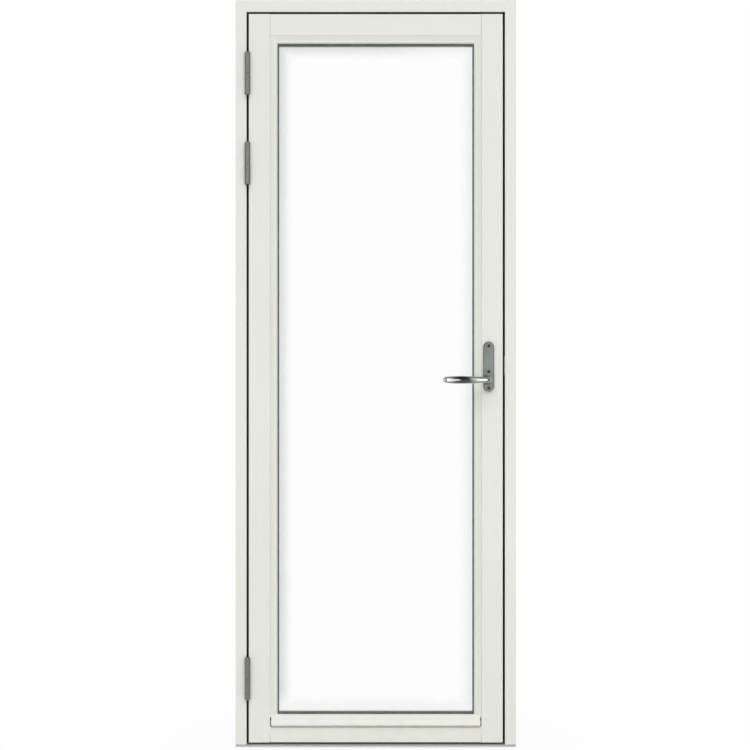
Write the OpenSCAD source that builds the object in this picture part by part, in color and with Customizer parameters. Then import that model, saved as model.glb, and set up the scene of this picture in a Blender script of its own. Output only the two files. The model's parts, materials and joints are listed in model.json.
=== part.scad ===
// Fully glazed outward-opening timber door, hung in its own frame.
// Millimetres. X runs from the hinge side to the lock side, Y from outdoors to indoors, Z up.
// The origin is the middle of the sill's underside.

/* [Frame] */
// Width over the jambs
frame_w = 780; // [700:10:1100]
// Height from the underside of the sill to the top of the head
frame_h = 2080; // [1980:10:2380]
// Depth of the frame, front to back
frame_d = 105; // [95:1:140]
// Width of the jambs as seen beside the leaf
jamb_face = 30.5; // [28:0.5:45]
// Height of the head as seen above the leaf
head_face = 33; // [28:1:45]
// How far the stop behind the leaf laps over its edge
stop_lap = 12; // [10:1:16]
// Gap round the leaf
gap = 6; // [5:0.5:8]
// Distance from the ends of the jambs to their outer fixings
fixing_end = 200; // [150:10:300]
// Distance between the two inner fixings of a jamb
fixing_inner = 600; // [300:20:800]
// Rounding of the timber arrises
arris = 2; // [1:0.5:3]
// Space between the back of the leaf and the stop, filled by the seal
seal_gap = 4.5; // [3.5:0.5:6]

/* [Sill] */
// Height of the aluminium sill
sill_h = 8; // [8:0.5:12]
// Wall of the sill's hollow chambers
sill_wall = 1.8; // [1.5:0.1:2.5]
// Pitch of the tread ribs on the sill
rib_pitch = 6; // [4:1:10]

/* [Leaf] */
// Thickness of the leaf
leaf_t = 60; // [56:1:68]
// Flat width of the stiles
stile_face = 59.5; // [50:0.5:80]
// Flat height of the top rail
top_rail_face = 60.5; // [50:0.5:90]
// Height of the bottom rail below the glazing
bottom_rail_h = 56.5; // [50:0.5:120]
// Flat height of the bottom rail below the drip bead
bottom_rail_face = 43; // [36:1:48]
// Width of the glazing lip at the back of the leaf
lip_w = 22.5; // [18:0.5:26]
// Thickness of the glazing lip
lip_t = 18; // [14:1:22]
// Length of the tenons on the rails
tenon_l = 38; // [20:1:40]
// Thickness of the tenons
tenon_t = 12; // [8:1:16]

/* [Glazing] */
// Thickness of each pane
pane_t = 4; // [3:1:6]
// Space between the panes
cavity = 16; // [12:1:18]
// Clearance between the glass and the bottom of its rebate
glass_clear = 4; // [3:0.5:6]
// Width of the glazing beads
bead_w = 20; // [18:0.5:24]
// Depth from the front of the leaf to the front gasket
bead_d = 12; // [10:0.5:14]
// Thickness of the gaskets in front of and behind the glass
gasket_t = 3; // [2:0.5:4]
// Width of gasket that shows beyond the bead
gasket_show = 4.5; // [2:0.5:6]
// Height of the spacer bar between the panes
spacer_h = 7; // [6:0.5:9]
// Depth of the sealant outside the spacer bar
edge_seal_h = 5; // [3:0.5:6]
// How far the drip bead stands out from the leaf
drip_out = 11; // [6:1:16]
// Height of the drip bead's front nose
drip_nose_h = 9; // [6:1:14]
// Slot left at each end of the drip bead, beside the stiles
drip_end_gap = 3.6; // [2:0.2:5]

/* [Hinges] */
// Length of each hinge
hinge_l = 118; // [90:2:130]
// Radius of the hinge knuckles
knuckle_r = 7.75; // [6.5:0.25:9]
// Radius of the hinge pins
pin_r = 4.5; // [3.5:0.25:5]
// Thickness of the hinge plates
plate_t = 2.5; // [2:0.1:2.7]
// Width of the hinge plates, from the face of the leaf inwards
plate_w = 32; // [26:1:38]
// Distance from the top of the frame down to the middle of the top hinge
hinge_top_down = 205; // [190:5:280]
// Distance from the top of the frame down to the middle of the middle hinge
hinge_mid_down = 455; // [420:5:780]
// Height of the bottom hinge's middle above the sill's underside
hinge_low_z = 193; // [160:1:260]
// Radial clearance of the pin in the knuckle that turns
pin_clear = 0.05; // [0.02:0.01:0.1]

/* [Handle] */
// Height of the spindle above the sill's underside
hub_z = 1023; // [900:1:1100]
// Distance from the edge of the leaf to the spindle
backset = 39.5; // [36:0.5:42]
// Width of the handle plates
hplate_w = 30; // [28:1:34]
// Reach of the handle plates above the spindle
hplate_up = 106; // [95:1:120]
// Reach of the handle plates below the spindle
hplate_down = 33; // [31:1:40]
// Thickness of the handle plates
hplate_t = 8; // [7:0.5:10]
// Wall of the hollow handle plates
hplate_wall = 2.5; // [2:0.5:3]
// Distance between the two screws either side of the spindle
screw_pitch = 46; // [40:1:50]
// Height of the upper plate screw above the spindle
top_screw_up = 94.5; // [80:0.5:97]
// Radius of the lever's neck
neck_r = 8.2; // [7:0.1:9]
// Length of the neck between the plate and the lever's bend
neck_l = 23; // [20:1:30]
// Reach of the lever from the spindle to its tip
lever_l = 122; // [110:1:135]
// Size of the square spindle
spindle_s = 7; // [7:1:8]

/* [Lock] */
// Module of the rack and pinion teeth
tooth_m = 1.4; // [1.3:0.05:1.4]
// Teeth on the pinion
teeth = 12; // [12:4:12]
// Thickness of the shoot rods
rod_t = 4; // [3:0.5:4.5]
// Width of the shoot rods
rod_w = 8; // [7:0.5:9]
// Thickness of the side bolt
bolt_t = 7; // [5:0.5:8]
// Height of the side bolt
bolt_h = 32; // [24:1:34]
// Height of the side bolt's middle above the spindle
bolt_up = 39.5; // [38:0.5:42]
// Width of the forend strip along the leaf's edge
forend_w = 20; // [18:1:24]
// Thickness of the forend strip
forend_t = 3; // [2:0.5:3.5]
// Length of the strike plate
strike_l = 53; // [50:1:80]
// Thickness of the strike plate
strike_t = 2; // [2:0.5:3]
// How far the strike plate stands into the gap
strike_proud = 1.5; // [1:0.5:2]

/* [Hidden] */
$fn = 48;

// Colours
paint = "#e8e9e1";
zinc = "#8f9183";
steel = "#a9aba6";
nickel = "#8c918c";
dark_rubber = "#3f4645";
aluminium = "#b9bcbb";
oak = "#a87c4f";
brass = "#b39352";
packer_blue = "#5b6f8a";
glass_tint = "#d8e8e6";

// Main planes
front_y = -frame_d / 2;
back_y = frame_d / 2;
leaf_back = front_y + leaf_t;
stop_y = leaf_back + seal_gap;
jamb_in = frame_w / 2 - jamb_face;
stop_in = jamb_in - gap - stop_lap;
head_under = frame_h - head_face;
stop_under = head_under - gap - stop_lap;
leaf_x = jamb_in - gap;
leaf_lo = sill_h + gap;
leaf_hi = head_under - gap;
stop_top = leaf_lo + stop_lap;
cut = 1;

// Glazing rebate: its outline, and depths measured from the front of the leaf
reb_x = leaf_x - stile_face;
reb_lo = leaf_lo + bottom_rail_h;
reb_hi = leaf_hi - top_rail_face;
glass_front = front_y + bead_d + gasket_t;
glass_back = glass_front + 2 * pane_t + cavity;
lip_y = leaf_back - lip_t;
tape_t = lip_y - glass_back;
lip_chamfer = 5;
lip_x = reb_x - lip_w;
ease = 0.9;
packer_l = 100;
packer_end = 120;
tenon_back = 16;
tenon_top_in = 10;
tenon_top_out = 12;
tenon_low_in = 6;
tenon_low_out = 8;
drip_kerf = 3;
drip_kerf_back = 7;

// Seal between the leaf and the stop
seal_w = 8;
seal_lap = stop_lap / 2;
seal_x = leaf_x - seal_lap + seal_w / 2;
seal_lo = leaf_lo + seal_lap - seal_w / 2;
seal_hi = leaf_hi - seal_lap + seal_w / 2;
kerf_w = 3.2;
kerf_d = 7;
touch = 0.3;
joint = 0.6;

// Fixings through the jambs
sleeve_r = 7;
fixing_r = 5;
sleeve_l = 30;
fixing_y = (stop_y + back_y) / 2;
fixing_mid = frame_h / 2;
fixing_outer = frame_h - 2 * fixing_end;
fixing_z = [for (s = [-fixing_outer, -fixing_inner, fixing_inner, fixing_outer]) fixing_mid + s / 2];
corner_screw_r = 2.5;
corner_screw_l = 72;
corner_sink = 1;
head_screw_back = 42;
stop_screw_up = 26;
sill_screw_back = 26.5;
head_screws = [
    [front_y + head_screw_back, head_under + head_face / 2], [fixing_y, stop_under + stop_screw_up]
];
sill_screw_ys = [front_y + sill_screw_back, stop_y];
sill_screw_x = frame_w / 2 - jamb_face / 2;

// Hinges
hinge_top_z = frame_h - hinge_top_down;
hinge_mid_z = frame_h - hinge_mid_down;
hinge_zs = [hinge_top_z, hinge_mid_z, hinge_low_z];
knuckle_x = -(jamb_in + leaf_x) / 2;
knuckle_y = front_y - knuckle_r - 0.25;
knuckle_gap = 0.6;
washer_play = 0.1;
pin_end = 8;
pin_reach = hinge_l / 2 - pin_end;
hinge_screw_end = 14;
hinge_screw_dz = [-hinge_l / 2 + hinge_screw_end, 0, hinge_l / 2 - hinge_screw_end];
hinge_screw_r = 2.1;
hinge_screw_l = 30;
hinge_head_r = 4;
hinge_head_t = 2.2;
hinge_screw_in = 12.8;
hinge_screw_y = front_y + plate_w - hinge_screw_in;
hinge_screw_fore = 7;
hinge_screw_aft = 4;
plate_corner_r = 6;
plate_back = 0.5;
knuckle_soft = 1;

// Lock: the rods lie in front of the bolt, and the pinion drives both
hub_x = leaf_x - backset;
pitch_r = tooth_m * teeth / 2;
tooth_pitch = PI * tooth_m;
addendum = 0.7 * tooth_m;
dedendum = 0.95 * tooth_m;
backlash = 0.16;
pressure = 20;
travel = PI / 2 * pitch_r;
case_wall = 1.2;
layer_gap = 0.4;
case_back = 21.5;
case_y0 = front_y + case_back;
case_in0 = case_y0 + case_wall;
rod_y0 = case_in0 + 0.3;
rod_y1 = rod_y0 + rod_t;
bolt_y0 = rod_y1 + layer_gap;
bolt_y1 = bolt_y0 + bolt_t;
case_in1 = bolt_y1 + 0.3;
case_y1 = case_in1 + case_wall;
rack_over = 3.1 * tooth_m;
case_x0 = hub_x - travel - rack_over - case_wall - touch;
case_x1 = leaf_x - forend_t;
case_down = 64;
case_up = 72;
case_z0 = hub_z - case_down;
case_z1 = hub_z + case_up;
rod_x1 = case_x1 - forend_t;
rod_x0 = rod_x1 - rod_w;
rack_body = 5.6;
rack_neck = 2;
jog_up = 32;
jog_down = 33;
jog_h = 8;
tip_soft = 2;
bar_x0 = dedendum + 0.4;
channel_clear = 0.3;
rod_tip_back = 1;
upper_tip = leaf_hi - rod_tip_back;
lower_tip = leaf_lo + rod_tip_back;
bolt_z = hub_z + bolt_up;
bolt_x1 = leaf_x - 0.5;
web_w = 6.5;
web_x0 = hub_x + pitch_r + addendum + 2.4;
boss_r = 6.9;
forend_y = (case_y0 + case_y1) / 2;
forend_end = 1;
forend_screw_r = 1.7;
forend_screw_l = 24;
forend_head_r = 3.3;
forend_head_t = 2;
forend_screw_y = bolt_y1 + 1.2;
forend_screw_end = 60;
forend_screw_off = 28;
forend_screw_zs = [
    leaf_lo + forend_screw_end, (leaf_lo + case_z0) / 2, case_z0 - forend_screw_off,
    case_z1 + forend_screw_off, (leaf_hi + case_z1) / 2, leaf_hi - forend_screw_end
];

// Strike and keeps
strike_x = jamb_in - strike_proud;
strike_behind = 7;
strike_corner_r = 3;
strike_screw_end = 4.6;
strike_screw_r = 1.6;
strike_screw_l = 26;
strike_head_r = 3.2;
strike_head_t = 1.8;
strike_y0 = front_y + plate_back;
strike_y1 = bolt_y1 + strike_behind;
slot_clear = 1.2;
pocket_d = travel + 4;
keep_slot_x = 12;
keep_slot_y = 8;
keep_t = 2;
keep_w = 30;
keep_rim = 2;
keep_screw_dx = 10.4;
keep_screw_r = 1.6;
keep_screw_l = 22;
keep_head_r = 3.1;
keep_head_t = 1.7;
sill_keep_screw_r = 1.4;
keep_gap = 1.5;
sill_keep_screw_l = sill_h - keep_gap;
rod_xm = (rod_x0 + rod_x1) / 2;
rod_ym = (rod_y0 + rod_y1) / 2;
head_pocket = 14;

// Handle
bolt_screw_r = 2.5;
wood_screw_r = 2;
wood_screw_l = 28;
head_r = 4.6;
head_t = 2.6;
recess_d = 1.4;
boss_ring_r = 12;
boss_ring_h = 1.5;
plate_front = front_y - hplate_t;
lever_y = plate_front - neck_l;
lever_bend_r = 12;
spindle_end = plate_front - 14;
spindle_socket = 0.05;

// Points of an arc about (cx, cy), from angle a0 to a1
function arc(cx, cy, r, a0, a1, n = 4) =
    [for (i = [0:n]) let (a = a0 + (a1 - a0) * i / n) [cx + r * cos(a), cy + r * sin(a)]];

// Extrusions whose outline is drawn in the plane across the named axis
module along_x(x0, x1) {
    translate([x0, 0, 0]) rotate([90, 0, 90]) linear_extrude(x1 - x0) children();
}
module along_y(y0, y1) {
    translate([0, y1, 0]) rotate([90, 0, 0]) linear_extrude(y1 - y0) children();
}
module along_z(z0, z1) {
    translate([0, 0, z0]) linear_extrude(z1 - z0) children();
}

// A box from its lowest corner to its highest
module block(lo, hi) {
    translate(lo) cube(hi - lo);
}

// One side of a mitred ring, along +Z: the section is drawn with x inwards and y deep
module mitred_side(length, reach, y0, y1) {
    intersection() {
        linear_extrude(length) children();
        along_y(y0 - cut, y1 + cut)
            polygon([[0, 0], [reach, reach], [reach, length - reach], [0, length]]);
    }
}

// The opening between the rebates seen from the front, made smaller by one width all round
module inset_opening(by) {
    translate([by - reb_x, reb_lo + by]) square([2 * (reb_x - by), reb_hi - reb_lo - 2 * by]);
}

// A rectangular ring with one section all round, mitred at its corners
module mitred_ring(x, lo, hi, reach, y0, y1) {
    for (side = [0, 1]) mirror([side, 0, 0])
        translate([-x, 0, lo]) mitred_side(hi - lo, reach, y0, y1) children();
    translate([x, 0, lo]) rotate([0, -90, 0]) mitred_side(2 * x, reach, y0, y1) children();
    translate([-x, 0, hi]) rotate([0, 90, 0]) mitred_side(2 * x, reach, y0, y1) children();
}

// A countersunk screw along +Z, its head's top at z = 0
module screw(r, length, top_r, top_t) {
    translate([0, 0, -top_t]) cylinder(h = top_t, r1 = r, r2 = top_r);
    translate([0, 0, -length + r]) cylinder(h = length - r - top_t, r = r);
    translate([0, 0, -length]) cylinder(h = r, r1 = r * 0.3, r2 = r);
}

// Cross recess in the head of a screw that shows
module cross_recess() {
    for (turn = [0, 90]) rotate([0, 0, turn])
        translate([-head_r * 0.55, -0.5, -recess_d]) cube([head_r * 1.1, 1, recess_d + cut]);
}

// FRAME

// Outlines of the lock jamb and of the stop planted on it, seen from above; the jamb's inner arris
// is left sharp, with a radius of nothing, where the head butts against it
module jamb_section(inner) {
    a = arris;
    w = frame_w / 2;
    polygon(concat(
        arc(w - a, front_y + a, a, 270, 360),
        arc(w - a, back_y - a, a, 0, 90),
        [[jamb_in + joint, back_y], [jamb_in, back_y - joint]],
        inner > 0 ? arc(jamb_in + inner, front_y + inner, inner, 180, 270) : [[jamb_in, front_y]]
    ));
}

module stop_section() {
    a = arris;
    polygon(concat(
        arc(stop_in + a, back_y - a, a, 90, 180),
        arc(stop_in + a, stop_y + a, a, 180, 270),
        [[jamb_in, stop_y], [jamb_in, back_y - joint], [jamb_in - joint, back_y]]
    ));
}

// Groove round the stop that holds the barb of the seal
module seal_kerf() {
    x = seal_x - seal_w / 2;
    lo = seal_lo + seal_w / 2;
    hi = seal_hi - seal_w / 2;
    k = kerf_w / 2;
    difference() {
        block([-x - k, stop_y - cut, lo - k], [x + k, stop_y + kerf_d, hi + k]);
        block([-x + k, stop_y - 2 * cut, lo + k], [x - k, stop_y + kerf_d + cut, hi - k]);
    }
}

module at_fixings() {
    for (z = fixing_z) translate([0, fixing_y, z]) children();
}

// Screws from the jamb into the head, and up through the sill into the jamb
module corner_screws() {
    for (p = head_screws) translate([frame_w / 2 - corner_sink, p[0], p[1]]) rotate([0, 90, 0])
        screw(corner_screw_r, corner_screw_l, head_r, head_t);
    for (y = sill_screw_ys) translate([sill_screw_x, y, corner_sink]) rotate([180, 0, 0])
        screw(corner_screw_r, corner_screw_l, head_r, head_t);
}

// Room for the corner screws, open to the outside
module corner_screw_holes() {
    corner_screws();
    for (p = head_screws) translate([frame_w / 2 - corner_sink, p[0], p[1]]) rotate([0, 90, 0])
        cylinder(h = corner_sink + cut, r = head_r);
    for (y = sill_screw_ys) translate([sill_screw_x, y, -cut])
        cylinder(h = corner_sink + cut, r = head_r);
}

module fixing_holes() {
    at_fixings() translate([stop_in - cut, 0, 0]) rotate([0, 90, 0])
        cylinder(h = frame_w / 2 - stop_in + 2 * cut, r = sleeve_r);
}

module jamb_blank() {
    difference() {
        union() {
            along_z(sill_h, head_under) jamb_section(arris);
            along_z(head_under - arris, frame_h) jamb_section(0);
        }
        fixing_holes();
        corner_screw_holes();
    }
}

module side_stop() {
    difference() {
        along_z(sill_h, head_under) stop_section();
        seal_kerf();
        fixing_holes();
    }
}

module hinge_side_stop() {
    color(paint) mirror([1, 0, 0]) side_stop();
}

module lock_side_stop() {
    color(paint) side_stop();
}

module head_stop() {
    a = arris;
    color(paint) difference() {
        along_x(-stop_in, stop_in) polygon(concat(
            arc(stop_y + a, stop_under + a, a, 180, 270),
            arc(back_y - a, stop_under + a, a, 270, 360),
            [[back_y, head_under - joint], [back_y - joint, head_under], [stop_y, head_under]]
        ));
        seal_kerf();
    }
}

module hinge_jamb() {
    color(paint) difference() {
        mirror([1, 0, 0]) jamb_blank();
        for (z = hinge_zs) translate([0, 0, z]) {
            frame_plate_recess();
            frame_plate_screws();
        }
    }
}

module lock_jamb() {
    color(paint) difference() {
        jamb_blank();
        block([jamb_in - cut, front_y - cut, bolt_z - strike_l / 2],
              [strike_x + strike_t, strike_y1, bolt_z + strike_l / 2]);
        block([jamb_in - cut, bolt_y0 - slot_clear, bolt_z - bolt_h / 2 - slot_clear],
              [strike_x + pocket_d, bolt_y1 + slot_clear, bolt_z + bolt_h / 2 + slot_clear]);
        strike_screws();
    }
}

module frame_head() {
    a = arris;
    color(paint) difference() {
        along_x(-jamb_in, jamb_in) polygon(concat(
            arc(front_y + a, head_under + a, a, 180, 270),
            [[back_y - joint, head_under], [back_y, head_under + joint]],
            arc(back_y - a, frame_h - a, a, 0, 90),
            arc(front_y + a, frame_h - a, a, 90, 180)
        ));
        corner_screws();
        mirror([1, 0, 0]) corner_screws();
        head_keep_recess();
        head_keep_screws();
        block([rod_xm - keep_slot_x / 2, rod_ym - keep_slot_y / 2, head_under],
              [rod_xm + keep_slot_x / 2, rod_ym + keep_slot_y / 2, head_under + keep_t + head_pocket]);
    }
}

// Hollow aluminium extrusion under the whole frame, ribbed where it is trodden on
module sill() {
    nose = 3;
    front_web = 8;
    back_web = 6;
    c0 = front_y + nose + sill_wall;
    c1 = sill_screw_ys[0] - front_web;
    c2 = sill_screw_ys[0] + front_web;
    c3 = sill_screw_ys[1] - back_web;
    c4 = sill_screw_ys[1] + back_web;
    c5 = back_y - nose;
    rib = 0.8;
    color(aluminium) difference() {
        along_x(-frame_w / 2, frame_w / 2) difference() {
            polygon(concat(
                arc(front_y + nose, nose, nose, 180, 270),
                [[back_y, 0], [back_y, sill_h]],
                arc(front_y + nose, sill_h - nose, nose, 90, 180)
            ));
            for (c = [[c0, c1], [c2, c3], [c4, c5]])
                translate([c[0], sill_wall]) square([c[1] - c[0], sill_h - 2 * sill_wall]);
            translate([front_y + nose + 2, -cut]) square([2, cut + 1]);
        }
        for (y = [front_y + 6 : rib_pitch : leaf_back])
            block([-jamb_in, y, sill_h - rib], [jamb_in, y + rib, sill_h + cut]);
        corner_screw_holes();
        mirror([1, 0, 0]) corner_screw_holes();
        sill_keep_recess();
        sill_keep_screws();
        block([rod_xm - keep_slot_x / 2, rod_ym - keep_slot_y / 2, -cut],
              [rod_xm + keep_slot_x / 2, rod_ym + keep_slot_y / 2, sill_h]);
    }
}

module threshold_stop() {
    a = arris;
    slope = 3;
    color(oak) difference() {
        along_x(-stop_in, stop_in) polygon(concat(
            [[stop_y, sill_h], [back_y - arris, sill_h]],
            arc(back_y - 2 * a, stop_top - slope - a, a, 0, 90),
            arc(stop_y + a, stop_top - a, a, 90, 180)
        ));
        seal_kerf();
    }
}

module frame_seal() {
    m = seal_w / 2;
    barb = kerf_w / 2 - 0.1;
    bulb = seal_gap - touch;
    color(dark_rubber) mitred_ring(seal_x, seal_lo, seal_hi, seal_w, stop_y - seal_gap, stop_y + kerf_d)
        polygon(concat(
            [[m - barb, stop_y], [m - barb, stop_y + kerf_d - touch],
             [m + barb, stop_y + kerf_d - touch], [m + barb, stop_y], [seal_w, stop_y]],
            [for (p = arc(0, 0, 1, 0, -180, 10)) [m + m * p[0], stop_y + bulb * p[1]]]
        ));
}

module fixing_sleeves() {
    color(zinc) for (side = [0, 1]) mirror([side, 0, 0])
        at_fixings() translate([stop_in, 0, 0]) rotate([0, 90, 0]) difference() {
            cylinder(h = sleeve_l, r = sleeve_r);
            translate([0, 0, -cut]) cylinder(h = sleeve_l + 2 * cut, r = fixing_r);
        }
}

module frame_corner_screws() {
    color(steel) for (side = [0, 1]) mirror([side, 0, 0]) corner_screws();
}

module strike_screws() {
    for (s = [-1, 1])
        translate([strike_x, bolt_y0 + bolt_t / 2, bolt_z + s * (strike_l / 2 - strike_screw_end)])
            rotate([0, -90, 0]) screw(strike_screw_r, strike_screw_l, strike_head_r, strike_head_t);
}

module strike_plate() {
    r = strike_corner_r;
    color(zinc) difference() {
        union() {
            block([strike_x, strike_y0, bolt_z - strike_l / 2 + r],
                  [strike_x + strike_t, strike_y1, bolt_z + strike_l / 2 - r]);
            block([strike_x, strike_y0, bolt_z - strike_l / 2],
                  [strike_x + strike_t, strike_y1 - r, bolt_z + strike_l / 2]);
            for (s = [-1, 1]) translate([strike_x, strike_y1 - r, bolt_z + s * (strike_l / 2 - r)])
                rotate([0, 90, 0]) cylinder(h = strike_t, r = r);
        }
        block([strike_x - cut, bolt_y0 - slot_clear, bolt_z - bolt_h / 2 - slot_clear],
              [strike_x + strike_t + cut, bolt_y1 + slot_clear, bolt_z + bolt_h / 2 + slot_clear]);
        strike_screws();
    }
}

module keep_outline() {
    r = keep_slot_y / 2 + keep_rim;
    x = keep_w / 2;
    translate([rod_xm, rod_ym]) intersection() {
        square([2 * x, 2 * r], center = true);
        circle(r = x);
    }
}

module keep_plate(z0, z1) {
    difference() {
        along_z(z0, z1) keep_outline();
        block([rod_xm - keep_slot_x / 2, rod_ym - keep_slot_y / 2, z0 - cut],
              [rod_xm + keep_slot_x / 2, rod_ym + keep_slot_y / 2, z1 + cut]);
    }
}

module head_keep_recess() {
    along_z(head_under - cut, head_under + keep_t) keep_outline();
}

module sill_keep_recess() {
    along_z(sill_h - keep_t, sill_h + cut) keep_outline();
}

module head_keep_screws() {
    for (s = [-1, 1]) translate([rod_xm + s * keep_screw_dx, rod_ym, head_under]) rotate([180, 0, 0])
        screw(keep_screw_r, keep_screw_l, keep_head_r, keep_head_t);
}

module sill_keep_screws() {
    for (s = [-1, 1]) translate([rod_xm + s * keep_screw_dx, rod_ym, sill_h])
        screw(sill_keep_screw_r, sill_keep_screw_l, keep_head_r, keep_head_t);
}

module head_keep() {
    color(steel) difference() {
        keep_plate(head_under, head_under + keep_t);
        head_keep_screws();
    }
}

module sill_keep() {
    color(steel) difference() {
        keep_plate(sill_h - keep_t, sill_h);
        sill_keep_screws();
    }
}

module keep_screws() {
    color(steel) {
        head_keep_screws();
        sill_keep_screws();
        strike_screws();
    }
}

// HINGES

// Side view of a hinge plate: full height in the gap, rounded at its inner corners
module hinge_plate_outline() {
    r = plate_corner_r;
    h = hinge_l / 2;
    polygon(concat(
        [[front_y + plate_back, -h], [front_y + plate_w - r, -h]],
        arc(front_y + plate_w - r, -h + r, r, 270, 360),
        arc(front_y + plate_w - r, h - r, r, 0, 90),
        [[front_y + plate_back, h]]
    ));
}

// Screws of one plate, driven towards +X; the places are relative to the hinge's middle
module plate_screws(x) {
    for (i = [0:2])
        translate([x, hinge_screw_y + (i == 1 ? -hinge_screw_fore : hinge_screw_aft), hinge_screw_dz[i]])
            rotate([0, -90, 0]) screw(hinge_screw_r, hinge_screw_l, hinge_head_r, hinge_head_t);
}

// The screws of the frame plate are driven towards -X into the jamb
module frame_plate_screws() {
    mirror([1, 0, 0]) plate_screws(jamb_in);
}

module leaf_plate_screws() {
    translate([-2 * leaf_x, 0, 0]) plate_screws(leaf_x);
}

module frame_plate_recess() {
    along_x(-jamb_in - plate_t, -jamb_in + cut) hinge_plate_outline();
    block([-jamb_in - plate_t, front_y - cut, -hinge_l / 2],
          [-jamb_in + cut, front_y + 1, hinge_l / 2]);
}

module leaf_plate_recess() {
    along_x(-leaf_x - cut, -leaf_x + plate_t) hinge_plate_outline();
    block([-leaf_x - cut, front_y - cut, -hinge_l / 2],
          [-leaf_x + plate_t, front_y + 1, hinge_l / 2]);
}

// Knuckle from z0 to z1 with softened ends
module knuckle(z0, z1) {
    soft = knuckle_soft;
    translate([knuckle_x, knuckle_y, 0]) rotate_extrude() polygon([
        [0, z0], [knuckle_r - soft, z0], [knuckle_r, z0 + soft],
        [knuckle_r, z1 - soft], [knuckle_r - soft, z1], [0, z1]
    ]);
}

// Half of the hinge that is screwed to the frame: it carries the pin
module hinge_frame_half(z) {
    h = hinge_l / 2;
    color(zinc) translate([0, 0, z]) difference() {
        union() {
            along_x(-jamb_in - plate_t, -jamb_in) hinge_plate_outline();
            block([-jamb_in - plate_t, knuckle_y, -h + 1], [-jamb_in, front_y + 1, -knuckle_gap - 0.5]);
            knuckle(-h, -knuckle_gap);
        }
        translate([knuckle_x, knuckle_y, -pin_reach]) cylinder(h = pin_reach, r = pin_r);
        frame_plate_screws();
    }
}

// Half of the hinge that is screwed to the leaf: it turns on the pin
module hinge_leaf_half(z) {
    h = hinge_l / 2;
    color(zinc) translate([0, 0, z]) difference() {
        union() {
            along_x(-leaf_x, -leaf_x + plate_t) hinge_plate_outline();
            block([-leaf_x, knuckle_y, knuckle_gap + 0.5], [-leaf_x + plate_t, front_y + 1, h - 1]);
            knuckle(knuckle_gap, h);
        }
        translate([knuckle_x, knuckle_y, -cut]) cylinder(h = pin_reach + 1 + cut, r = pin_r + pin_clear);
        leaf_plate_screws();
    }
}

module top_hinge_frame_plate() hinge_frame_half(hinge_top_z);
module middle_hinge_frame_plate() hinge_frame_half(hinge_mid_z);
module bottom_hinge_frame_plate() hinge_frame_half(hinge_low_z);
module top_hinge_leaf_plate() hinge_leaf_half(hinge_top_z);
module middle_hinge_leaf_plate() hinge_leaf_half(hinge_mid_z);
module bottom_hinge_leaf_plate() hinge_leaf_half(hinge_low_z);

module hinge_pins() {
    color(steel) for (z = hinge_zs) translate([knuckle_x, knuckle_y, z]) {
        translate([0, 0, -pin_reach]) cylinder(h = 2 * pin_reach - 1, r = pin_r);
        translate([0, 0, pin_reach - 1]) cylinder(h = 1, r1 = pin_r, r2 = pin_r - 1);
    }
}

module hinge_washers() {
    color(brass) for (z = hinge_zs) translate([knuckle_x, knuckle_y, z - knuckle_gap]) difference() {
        cylinder(h = 2 * knuckle_gap - washer_play, r = knuckle_r - 0.7);
        translate([0, 0, -cut]) cylinder(h = 2 * knuckle_gap + 2 * cut, r = pin_r);
    }
}

module hinge_frame_screws() {
    color(steel) for (z = hinge_zs) translate([0, 0, z]) frame_plate_screws();
}

module hinge_leaf_screws() {
    color(steel) for (z = hinge_zs) translate([0, 0, z]) leaf_plate_screws();
}

// LEAF

// Outline of the lock stile seen from above, with the glazing lip at its back
module stile_section() {
    a = arris;
    c = lip_chamfer;
    polygon(concat(
        arc(leaf_x - a, front_y + a, a, 270, 360),
        arc(leaf_x - a, leaf_back - a, a, 0, 90),
        [[lip_x + c, leaf_back], [lip_x, leaf_back - c], [lip_x, lip_y], [reb_x, lip_y]],
        arc(reb_x + ease, front_y + ease, ease, 180, 270, 2)
    ));
}

// Tenon on the end of a rail, towards +X
module tenon(z0, z1) {
    block([reb_x - cut, front_y + tenon_back, z0], [reb_x + tenon_l, front_y + tenon_back + tenon_t, z1]);
}

module top_tenon() {
    tenon(reb_hi + tenon_top_in, leaf_hi - tenon_top_out);
}

module bottom_tenon() {
    tenon(leaf_lo + tenon_low_out, reb_lo - tenon_low_in);
}

module stile_blank() {
    difference() {
        along_z(leaf_lo, leaf_hi) stile_section();
        top_tenon();
        bottom_tenon();
    }
}

module hinge_stile() {
    color(paint) difference() {
        mirror([1, 0, 0]) stile_blank();
        for (z = hinge_zs) translate([0, 0, z]) {
            leaf_plate_recess();
            leaf_plate_screws();
        }
    }
}

module lock_stile() {
    f = forend_w / 2;
    color(paint) difference() {
        stile_blank();
        block([case_x1, forend_y - f, leaf_lo - cut], [leaf_x + cut, forend_y + f, leaf_hi + cut]);
        block([rod_x0 - channel_clear, rod_y0 - channel_clear, leaf_lo - cut],
              [leaf_x, rod_y1 + channel_clear, leaf_hi + cut]);
        block([case_x0 - touch, case_y0 - touch, case_z0 - touch],
              [leaf_x, case_y1 + touch, case_z1 + touch]);
        translate([hub_x, leaf_back + cut, hub_z]) rotate([90, 0, 0])
            cylinder(h = leaf_t + 2 * cut, r = 6.5);
        at_screw_pair() translate([0, leaf_back + cut, 0]) rotate([90, 0, 0])
            cylinder(h = leaf_t + 2 * cut, r = 4.2);
        handle_wood_screw_pair();
        forend_screw_set();
    }
}

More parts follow.
